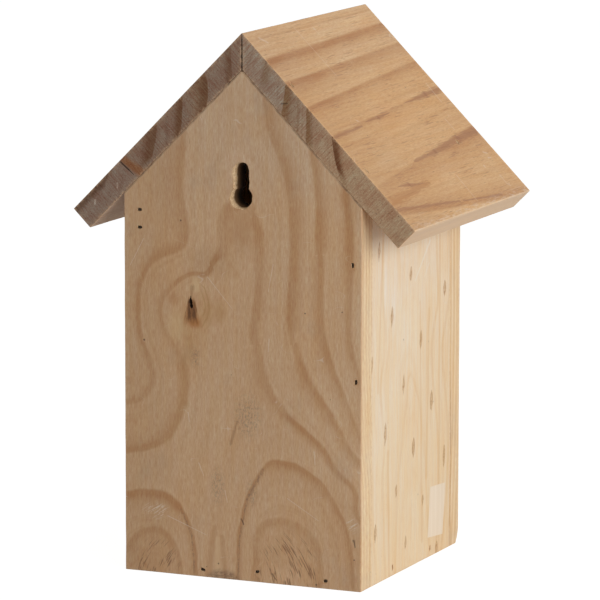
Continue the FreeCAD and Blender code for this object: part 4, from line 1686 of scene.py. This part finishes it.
def roof_fold(side):
    """Fold for one slope: the mitre leans the block's ridge end, and the block lies down the pitch."""
    def fold(block):
        from_middle = np.abs(block[:, 1] - ROOF_LENGTH / 2)
        opening = np.minimum(block[:, 2] / MITRE_OPENS, from_middle / MITRE_CLOSES)
        gap = MITRE * np.clip(opening, 0.1, 1.0)
        first = block[:, 2] * SLOPE + gap / math.cos(PITCH)
        s = first + block[:, 0] * (1 - first / ROOF_RUN)
        x = s * math.cos(PITCH) - block[:, 2] * math.sin(PITCH)
        z = RIDGE - s * math.sin(PITCH) - block[:, 2] * math.cos(PITCH)
        z = np.minimum(z, RIDGE - MITRE * SLOPE)
        return stacked(side * x, BACK_FACE - block[:, 1], z)
    return fold


def roof_grain(side):
    """(distance from the ridge, distance from the rear, depth) on one slope."""
    def grain_of(points):
        x = side * points[:, X]
        fall = RIDGE - points[:, Z]
        s = x * math.cos(PITCH) + fall * math.sin(PITCH)
        depth = fall * math.cos(PITCH) - x * math.sin(PITCH)
        return stacked(s, BACK_FACE - points[:, Y], depth)
    return grain_of


def end_view(grain):
    """The grain vector turned so that strokes on a sawn end are given as (across, depth)."""
    across, along, depth = parts(grain)
    return joined(across, depth, along)


def lay_end_rings(grain, colour, rings):
    """Rings edge on, crisp towards the ridge and fading away from it. Each one is its place at the
    upper face, its lean and bow with depth, its width, the depth where it ends, strength and tone."""
    run, _, depth = parts(grain)
    stir = speckle(grain, (0.35, 0.35, 0.35), 2.0)
    run = times_plus(minus(stir, 0.5), RING_WOBBLE, run)
    for start, lean, bow, width, foot, strength, tone in rings:
        edge = times_plus(depth, times_plus(depth, bow, lean), start)
        beyond = minus(run, edge)
        mask = times(ramp(beyond, 0.0, RING_CRISP), ramp(beyond, width, RING_FADE * width))
        mask = times(mask, ramp(depth, foot + 1.0, foot - 1.0))
        colour = lay(colour, mask, strength, tone)
    return colour


def roof_cutters(side, word, closed):
    """Pockets over a roof board's brads, without those whose hole has closed above the head."""
    outward = (side * math.sin(PITCH), 0, math.cos(PITCH))
    cutters = []
    for gable in ("back", "front"):
        for number, solid in enumerate(solids_in(f"brads_{word}_roof_to_{gable}")):
            place = roof_grain(side)(solid).mean(axis=0)
            hidden = any(np.hypot(place[0] - s, place[1] - u) < CLOSED_REACH for s, u in closed)
            if not hidden:
                cutters.append(pocket(solid, outward, ROOF_HEAD_SEED + number))
    return cutters


# Painted shade for the mitre faces inside the ridge joint.
MITRE_SHADE = sawn_end("mitre_face_painted_shade", MITRE_SHADE_GROUND, MITRE_SHADE_LATE)


def make_roof(side, word, lines, planed, sawn, seed, closed=()):
    """One roof board. Its mitre face, deep in the joint at the ridge, gets a near-black sawn end as painted
    shade.
    """
    size = (ROOF_RUN, ROOF_LENGTH, BOARD)
    materials = [planed, sawn, DRILLED_WOOD, MITRE_SHADE]
    board = make_plank(f"{word}_roof_board", "box", size, roof_fold(side), roof_grain(side),
                       ruled_figure(lines), materials, BACKWARD, roof_cutters(side, word, closed),
                       seed=seed)
    for face in board.data.polygons:
        if face.normal.x * side < MITRE_FACING:
            face.material_index = EXTRA
    return board


print("roof run", round(ROOF_RUN, 2), "length", round(ROOF_LENGTH, 2))

# %% Build the left roof board
ROOF_EARLY = (0.74, 0.455, 0.229)
ROOF_LATE = (0.465, 0.203, 0.067)
ROOF_RED = (0.33, 0.135, 0.062)
# Roof arrises: partly wear, partly a painted highlight.
ROOF_WEAR_AND_HIGHLIGHT = (0.90, 0.60, 0.33)
RIDGE_TONE = (1.03, 1.08, 1.18)
MIDDLE_TONE = (1.0, 0.98, 0.955)
REAR_TONE = (0.89, 0.865, 0.85)
EAVE_TONE = (0.85, 0.62, 0.41)
FUZZ_TONE = (0.88, 0.74, 0.58)
END_GROUND = (0.425, 0.30, 0.216)
END_LATE = (0.12, 0.055, 0.028)
END_BAND = (0.26, 0.126, 0.050)
END_DEEP = (0.185, 0.075, 0.031)
END_TAN = (1.22, 1.09, 0.90)
END_RING_SHARE = 0.15
LEFT_ROOF_LINES = [
    (5.5, 3.8, 0.6, 1.4, 0.0, 0.4, 0.4), (18.8, 14.4, 0.6, 4.4, 0.7, 1.0, 0.9),
    (32.4, 26.8, 0.92, 3.2, 0.9, 1.0, 0.7), (47.3, 38.3, 0.92, 2.4, 0.7, 0.8, 0.6),
    (64.3, 55, 1.45, 2.0, 0.4, 0.5, 0.55), (97, 82, 2.2, 5.0, 1.6, 0.25, 0.85),
    (110.5, 122.5, 2.5, 4.0, -1.0, 0.6, 0.7),
]
LEFT_ROOF_RED = [
    ((88.4, 56), (86.8, 84), 1.6, 5.0), ((86.8, 84), (83.8, 118), 5.0, 6.5),
    ((83.8, 118), (82.6, 148), 6.5, 5.5), ((64.9, -1), (63.2, 36), 3.2, 1.4),
    ((61.6, 42), (61.2, 58), 0.4, 3.0), ((61.2, 58), (60.4, 74), 3.0, 0.4),
    ((57.8, 96), (56.6, 124), 0.4, 5.0), ((56.6, 124), (55.8, 148), 5.0, 4.0),
    ((98.0, 20), (99.2, 32), 0.5, 3.4), ((99.2, 32), (100.6, 48), 3.4, 0.3),
    ((109, -1), (115, 66), 3.2, 1.8), ((115.5, 70), (119, 112), 1.2, 2.4),
]
LEFT_ROOF_FLAME = [((105, -2), (101, 52), 9.0, 4.0)]
ROOF_TONES = [
    ((12, 122), (14, 36), (1.07, 1.09, 1.10)), ((84, 34), (11, 22), (1.0, 1.04, 1.11)),
    ((56, 66), (7, 18), (1.02, 1.05, 1.12)), ((100, 78), (12, 20), (1.02, 1.04, 1.08)),
    ((61, 112), (8, 38), (0.99, 0.96, 0.91)), ((68, 6), (9, 14), (0.97, 0.94, 0.88)),
]
LEFT_ROOF_SCRATCHES = [
    ((4, 53), (34, 53.3), 0.9, 0.7), ((51, 134.5), (63, 133.5), 1.2, 1.0),
    ((72, 122), (79, 122), 1.1, 0.9), ((102, 84.5), (118, 83), 1.1, 0.7),
    ((109, 127.5), (115, 127), 1.4, 1.1), ((95, 131), (96, 134), 1.8, 1.5),
    ((98.5, 131), (99, 134), 1.5, 1.2), ((5, 12), (8, 16), 2.4, 2.0),
]
LEFT_END_RINGS = [
    (30.6, 0.90, -0.013, 13.0, 14, 0.36, END_BAND), (30.6, 0.90, -0.013, 6.4, 14, 0.72, END_BAND),
    (39.0, 0.95, 0.0, 2.4, 14, 0.40, END_BAND), (42.2, 0.95, 0.0, 2.0, 14, 0.30, END_BAND),
    (45.2, 1.0, 0.0, 6.2, 14, 0.78, END_BAND), (63.4, 1.0, 0.05, 9.0, 14, 0.46, END_BAND),
    (63.4, 1.0, 0.05, 7.0, 9.0, 0.90, END_DEEP),
]
LEFT_END_FAINT = [((18.0, -1), (23.0, 7), 7.0, 5.0)]
LEFT_END_CRACK = [((36.4, 8.2), (38.2, 6.0), 1.1, 1.0)]


def roof_tones(grain, colour):
    """Paler towards the ridge, richer in the middle, a little darker at the rear."""
    run, along, _ = parts(grain)
    colour = toned(colour, ramp(run, 52.0, 16.0), RIDGE_TONE)
    middle = times(ramp(run, 34.0, 52.0), ramp(run, 100.0, 70.0))
    colour = toned(colour, middle, MIDDLE_TONE)
    return toned(colour, ramp(along, 80.0, 0.0), REAR_TONE)


def roof_dashes(grain, colour):
    """Thin brown dashes along the grain, in loose drifts."""
    dash = speckle(grain, (1.3, 0.055, 1.3), 2.0, 0.6)
    drift = speckle(grain, (0.07, 0.025, 0.07), 2.0)
    limit = sums("ADD", dash, ramp(drift, 0.35, 0.65, -0.06, 0.06))
    return lay(colour, ramp(limit, 0.60, 0.70), 0.42, ROOF_RED)


def left_roof_marks(grain, colour):
    run, _, depth = parts(grain)
    colour = roof_tones(grain, colour)
    colour = lay_tones(grain, colour, ROOF_TONES)
    colour = roof_dashes(grain, colour)
    colour = lay_strokes(grain, colour, LEFT_ROOF_FLAME, ROOF_LATE, 0.62, 1.0)
    colour = lay_strokes(grain, colour, LEFT_ROOF_RED, ROOF_RED, 0.54, 0.9)
    colour = lay(colour, ramp(run, 121.3, 121.7), 0.75, EAVE_TONE)
    fuzz = ramp(speckle(grain, (0.8, 0.16, 0.8), 4.0, 0.7), 0.45, 0.60)
    near = times(ramp(run, 116.0, 121.6), ramp(depth, 1.6, 0.5))
    colour = lay(colour, times(fuzz, near), 0.36, FUZZ_TONE)
    return lay_strokes(grain, colour, LEFT_ROOF_SCRATCHES, PALE_MARK, 0.28)


def left_end_marks(grain, colour):
    face = end_view(grain)
    run = parts(grain)[0]
    colour = toned(colour, ramp(run, 25.0, 80.0), END_TAN)
    colour = lay_strokes(face, colour, LEFT_END_FAINT, END_BAND, 0.45, 0.6)
    colour = lay_end_rings(grain, colour, LEFT_END_RINGS)
    return lay_strokes(face, colour, LEFT_END_CRACK, NEAR_BLACK, 0.55)


def roof_pine(word, marks):
    """The planed wood that both roof boards share, with one board's own marks."""
    return pine(f"pine_of_{word}_roof", ROOF_EARLY, ROOF_LATE, pores=0.68, smudge=0.1, streaks=0.12,
                grit=0.16, wear_and_highlight=ROOF_WEAR_AND_HIGHLIGHT, extra=marks)


left_planed = roof_pine("left", left_roof_marks)
left_sawn = sawn_end("sawn_end_of_left_roof", END_GROUND, END_LATE, END_RING_SHARE, left_end_marks)
make_roof(-1, "left", LEFT_ROOF_LINES, left_planed, left_sawn, seed=71, closed=[(40, 114)])

# %% Build the right roof board
RIGHT_ROOF_LINES = [
    (10, 8, 0.67, 3.2, 0.5, 0.75, 0.7), (29, 27, 0.62, 5.0, 0.6, 1.0, 1.0),
    (43.5, 40, 0.9, 4.2, 0.6, 0.9, 0.9), (62, 58, 1.2, 5.0, 0.4, 0.8, 0.8),
    (92, 88, 1.8, 3.0, 0.5, 0.4, 0.8), (118, 112, 2.0, 3.0, 0.5, 0.4, 0.6),
]
RIGHT_ROOF_RED = [
    ((70, 20), (66, 80), 1.0, 3.0), ((100, 60), (97, 140), 1.4, 5.0), ((24, 90), (22, 140), 0.8, 2.0),
]
RIGHT_ROOF_SCRATCHES = [
    ((12, 40), (22, 43), 0.8, 0.5), ((60, 100), (72, 98), 0.8, 0.5), ((95, 30), (104, 33), 0.9, 0.6),
]
RIGHT_END_RESIN = [((86.6, -1), (83.4, 13), 6.0, 7.0)]
RIGHT_END_CRACK = [((88.4, -1), (87.6, 6), 1.3, 1.1), ((87.6, 6), (87.4, 9.5), 1.0, 0.4)]
RIGHT_END_STRIP = [((125, 0.9), (104, 0.8), 7.4, 7.0), ((104, 0.8), (92, -0.6), 7.0, 2.4)]
RIGHT_END_SCUFFS = [((112, 5.8), (110.5, 4.5), 1.6, 1.4), ((98, 8.2), (96.5, 6.7), 1.4, 1.2)]
RIGHT_END_GROUND = (0.325, 0.216, 0.158)
RIGHT_END_LATE = (0.10, 0.045, 0.024)
RIGHT_END_BROWN = (0.19, 0.088, 0.042)
RIGHT_END_TAN = (0.32, 0.185, 0.105)
RIGHT_END_STAIN = (0.165, 0.088, 0.055)
RIGHT_END_RUST = (0.985, 0.95, 0.905)
END_RESIN_TONE = (0.30, 0.115, 0.045)
RIGHT_END_RINGS = [
    (8.3, 0.70, 0.015, 6.6, 14, 0.66, RIGHT_END_BROWN),
    (26.6, 0.25, 0.05, 18.0, 14, 0.80, RIGHT_END_TAN),
    (26.6, 0.25, 0.05, 10.5, 14, 0.90, RIGHT_END_BROWN),
    (42.0, 1.0, 0.01, 8.5, 14, 0.95, RIGHT_END_BROWN),
    (60.4, 1.05, 0.03, 14.0, 10.0, 0.82, RIGHT_END_BROWN),
]
UNDER_TONE = (0.845, 0.995, 1.43)


def right_end_marks(grain, colour):
    face = end_view(grain)
    rust = ramp(parts(grain)[0], 90.0, 80.0)
    colour = toned(colour, rust, RIGHT_END_RUST)
    colour = lay_end_rings(grain, colour, RIGHT_END_RINGS)
    colour = lay_strokes(face, colour, RIGHT_END_STRIP, RIGHT_END_STAIN, 0.95)
    colour = lay_strokes(face, colour, RIGHT_END_RESIN, END_RESIN_TONE, 0.9)
    colour = lay_strokes(face, colour, RIGHT_END_SCUFFS, PALE_MARK, 0.35, 0.5)
    return lay_strokes(face, colour, RIGHT_END_CRACK, NEAR_BLACK, 0.85)


def right_roof_marks(grain, colour):
    colour = roof_tones(grain, colour)
    colour = toned(colour, ramp(parts(grain)[2], 11.2, 11.8), UNDER_TONE)
    colour = roof_dashes(grain, colour)
    colour = lay_strokes(grain, colour, RIGHT_ROOF_RED, ROOF_RED, 0.5, 0.6)
    return lay_strokes(grain, colour, RIGHT_ROOF_SCRATCHES, PALE_MARK, 0.45, 0.2)


right_planed = roof_pine("right", right_roof_marks)
right_sawn = sawn_end("sawn_end_of_right_roof", RIGHT_END_GROUND, RIGHT_END_LATE, END_RING_SHARE,
                      right_end_marks)
make_roof(1, "right", RIGHT_ROOF_LINES, right_planed, right_sawn, seed=81)

# %% [markdown]
# A blank film on the side.
# Low on the fixed side sits a small clear film with nothing on it. It is a thin closed sheet over
# four corners that are not quite square, lifted a hair off the wood and slightly wavy. Its material
# is the pale wood seen through it, a little glossier and with a little cloud in its roughness.

# %% Build the film
FILM_CORNERS = [(83.8, 33.8), (102.9, 32.5), (99.6, 8), (80.9, 9.7)]
FILM_LIFT = 0.03
FILM_THICKNESS = 0.03
SHARP_FILM = math.radians(40)
FILM_DEEP = (0.87, 0.68, 0.47)
FILM_PALE = (0.95, 0.78, 0.59)


def film_material():
    material, tree, surface = start_material("clear_film")
    place = add(tree, "TexCoord").outputs["Object"]
    streak = speckle(place, (400, 400, 14))
    colour = tint(ramp(streak, 0.3, 0.7), FILM_DEEP, FILM_PALE)
    feed(surface["Base Color"], colour)
    feed(surface["Roughness"], ramp(streak, 0.3, 0.7, 0.30, 0.42))
    return material


def build_film(columns=14, rows=18):
    upper_left, upper_right, lower_right, lower_left = (np.array(corner) for corner in FILM_CORNERS)
    across = np.linspace(0, 1, columns + 1)
    down = np.linspace(0, 1, rows + 1)
    sheets = []
    for lift in (FILM_LIFT, FILM_LIFT + FILM_THICKNESS):
        for v in down:
            left = upper_left + (lower_left - upper_left) * v
            right = upper_right + (lower_right - upper_right) * v
            for u in across:
                d, z = left + (right - left) * u
                wave = 0.012 * math.sin(7 * u + 2 * v) + 0.006 * math.sin(9 * v)
                sheets.append((-HALF_WIDTH - lift - wave * math.sin(math.pi * u), BACK_FACE - d, z))
    count = (columns + 1) * (rows + 1)
    number = np.arange(count).reshape(rows + 1, columns + 1)
    corners = [number[:-1, :-1], number[:-1, 1:], number[1:, 1:], number[1:, :-1]]
    faces = []
    for quad in np.stack(corners, axis=2).reshape(-1, 4):
        faces += [quad, quad + count]
    rim = [*number[0], *number[1:, -1], *number[-1, -2::-1], *number[-2:0:-1, 0]]
    for here, after in zip(rim, rim[1:] + rim[:1]):
        faces.append((here, after, count + after, count + here))
    film = mesh_object("blank_film", sheets, faces)
    film.data.materials.append(film_material())
    film.data.shade_smooth()
    film.data.set_sharp_from_angle(angle=SHARP_FILM)
    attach(film, "box")
    return film


film = build_film()
print("film faces:", len(film.data.polygons))

# %% [markdown]
# Steel.
# The brads and the two pivot nails keep their own solids, because their shape is right: sunk heads at
# the bottom of dark pockets. They get a dull, slightly rusty steel. The hook is wound again from its
# path as a round wire with a screw thread on the shank and a rounded tip, in bright zinc.

# %% Steel materials
def steel(name, clean, dull, rust, rust_share, smooth, rough):
    """Wire steel: a clean tone broken by dull patches and a share of rust."""
    material, tree, surface = start_material(name)
    place = add(tree, "TexCoord").outputs["Object"]
    patch = speckle(place, (900, 900, 900), 4.0, 0.6)
    grime = speckle(place, (2600, 2600, 2600), 3.0, 0.6)
    colour = tint(ramp(patch, 0.35, 0.65), clean, dull)
    rusty = ramp(grime, 0.62 - rust_share * 0.3, 0.80 - rust_share * 0.3)
    feed(surface["Metallic"], ramp(rusty, 0.0, 1.0, 1.0, 0.2))
    gloss = ramp(patch, 0.3, 0.7, smooth, rough)
    finish_surface(surface, tint(rusty, colour, rust), gloss, grime, relief=0.2, depth=0.00008)
    return material


BRAD_STEEL = steel("brad_steel", (0.055, 0.045, 0.034), (0.022, 0.017, 0.012), (0.07, 0.03, 0.012),
                   rust_share=0.5, smooth=0.5, rough=0.7)
ZINC = steel("zinc_wire", (0.72, 0.72, 0.71), (0.52, 0.53, 0.54), (0.40, 0.38, 0.36),
             rust_share=0.1, smooth=0.24, rough=0.42)
RUSTY_STEEL = steel("rusty_brad_steel", (0.34, 0.15, 0.05), (0.22, 0.09, 0.03), (0.50, 0.23, 0.06),
                    rust_share=1.0, smooth=0.6, rough=0.8)
for name, node in frame["nodes"].items():
    if name.startswith(("brad", "pivot")):
        node.data.materials.clear()
        node.data.materials.append(RUSTY_STEEL if name == "brads_side_to_floor" else BRAD_STEEL)
print("steel on", sum(name.startswith(("brad", "pivot")) for name in frame["nodes"]), "nodes")

# %% Wind the hook
THREAD_PITCH = 1.1
THREAD_DEPTH = 0.26
THREAD_END = 1.5
POINT_SHARE, POINT_LENGTH = 0.35, 3.0
TIP_SHARE = 0.12
SHANK_STEP = 0.2
BEND_STEPS, ARM_STEPS, TIP_STEPS = 13, 12, 6
WIRE_SIDES = 20
SHARP_HOOK = math.radians(45)


def hook_path():
    """Centre line of the wire with the direction at each point: shank, bend and arm, and where the arm ends
    for the rounded tip.
    """
    arm_x = HOOK_HIGH[X] - HOOK_WIRE / 2
    bend = arm_x - HALF_WIDTH
    shank = [((x, HOOK_Z), 0.0) for x in np.arange(HOOK_LOW[X], HALF_WIDTH - SHANK_STEP / 2, SHANK_STEP)]
    turns = np.linspace(0, math.pi / 2, BEND_STEPS)
    curve = [((HALF_WIDTH + bend * math.sin(t), HOOK_Z - bend * (1 - math.cos(t))), t) for t in turns]
    heights = np.linspace(HOOK_Z - bend - 1, HOOK_LOW[Z] + HOOK_WIRE / 2, ARM_STEPS)
    arm = [((arm_x, z), math.pi / 2) for z in heights]
    return shank, curve, arm, arm_x


def wire_ring(place, turn, sizes):
    """Ring of points round the wire's centre line."""
    around = full_turn(WIRE_SIDES)
    lift = np.cos(around) * sizes
    x = place[0] + lift * math.sin(turn)
    z = place[1] + lift * math.cos(turn)
    return stacked(x, HOOK_Y + np.sin(around) * sizes, z)


def build_hook():
    shank, curve, arm, arm_x = hook_path()
    around = np.linspace(0, 1, WIRE_SIDES, endpoint=False)
    radius = HOOK_WIRE / 2
    rings = []
    for place, turn in shank:
        wave = np.abs(((place[0] - HOOK_LOW[X]) / THREAD_PITCH + around) % 1 - 0.5) * 2
        taper = min(1.0, POINT_SHARE + (place[0] - HOOK_LOW[X]) / POINT_LENGTH)
        fade = np.clip((HALF_WIDTH - THREAD_END - place[0]) / THREAD_END, 0.0, 1.0)
        rings.append(wire_ring(place, turn, (radius - THREAD_DEPTH * fade * wave) * taper))
    rings += [wire_ring(place, turn, radius) for place, turn in curve + arm]
    for angle in np.linspace(0, math.pi / 2, TIP_STEPS)[1:-1]:
        place = (arm_x, HOOK_LOW[Z] + radius * (1 - math.sin(angle)))
        rings.append(wire_ring(place, math.pi / 2, radius * math.cos(angle)))
    rings.append(wire_ring((arm_x, HOOK_LOW[Z]), math.pi / 2, radius * TIP_SHARE))
    hook = mesh_object("door_hook_wire", *loft(rings))
    hook.data.materials.append(ZINC)
    hook.data.shade_smooth()
    hook.data.set_sharp_from_angle(angle=SHARP_HOOK)
    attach(hook, "hook")
    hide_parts("door_hook")
    return hook


hook = build_hook()
print("hook faces:", len(hook.data.polygons))
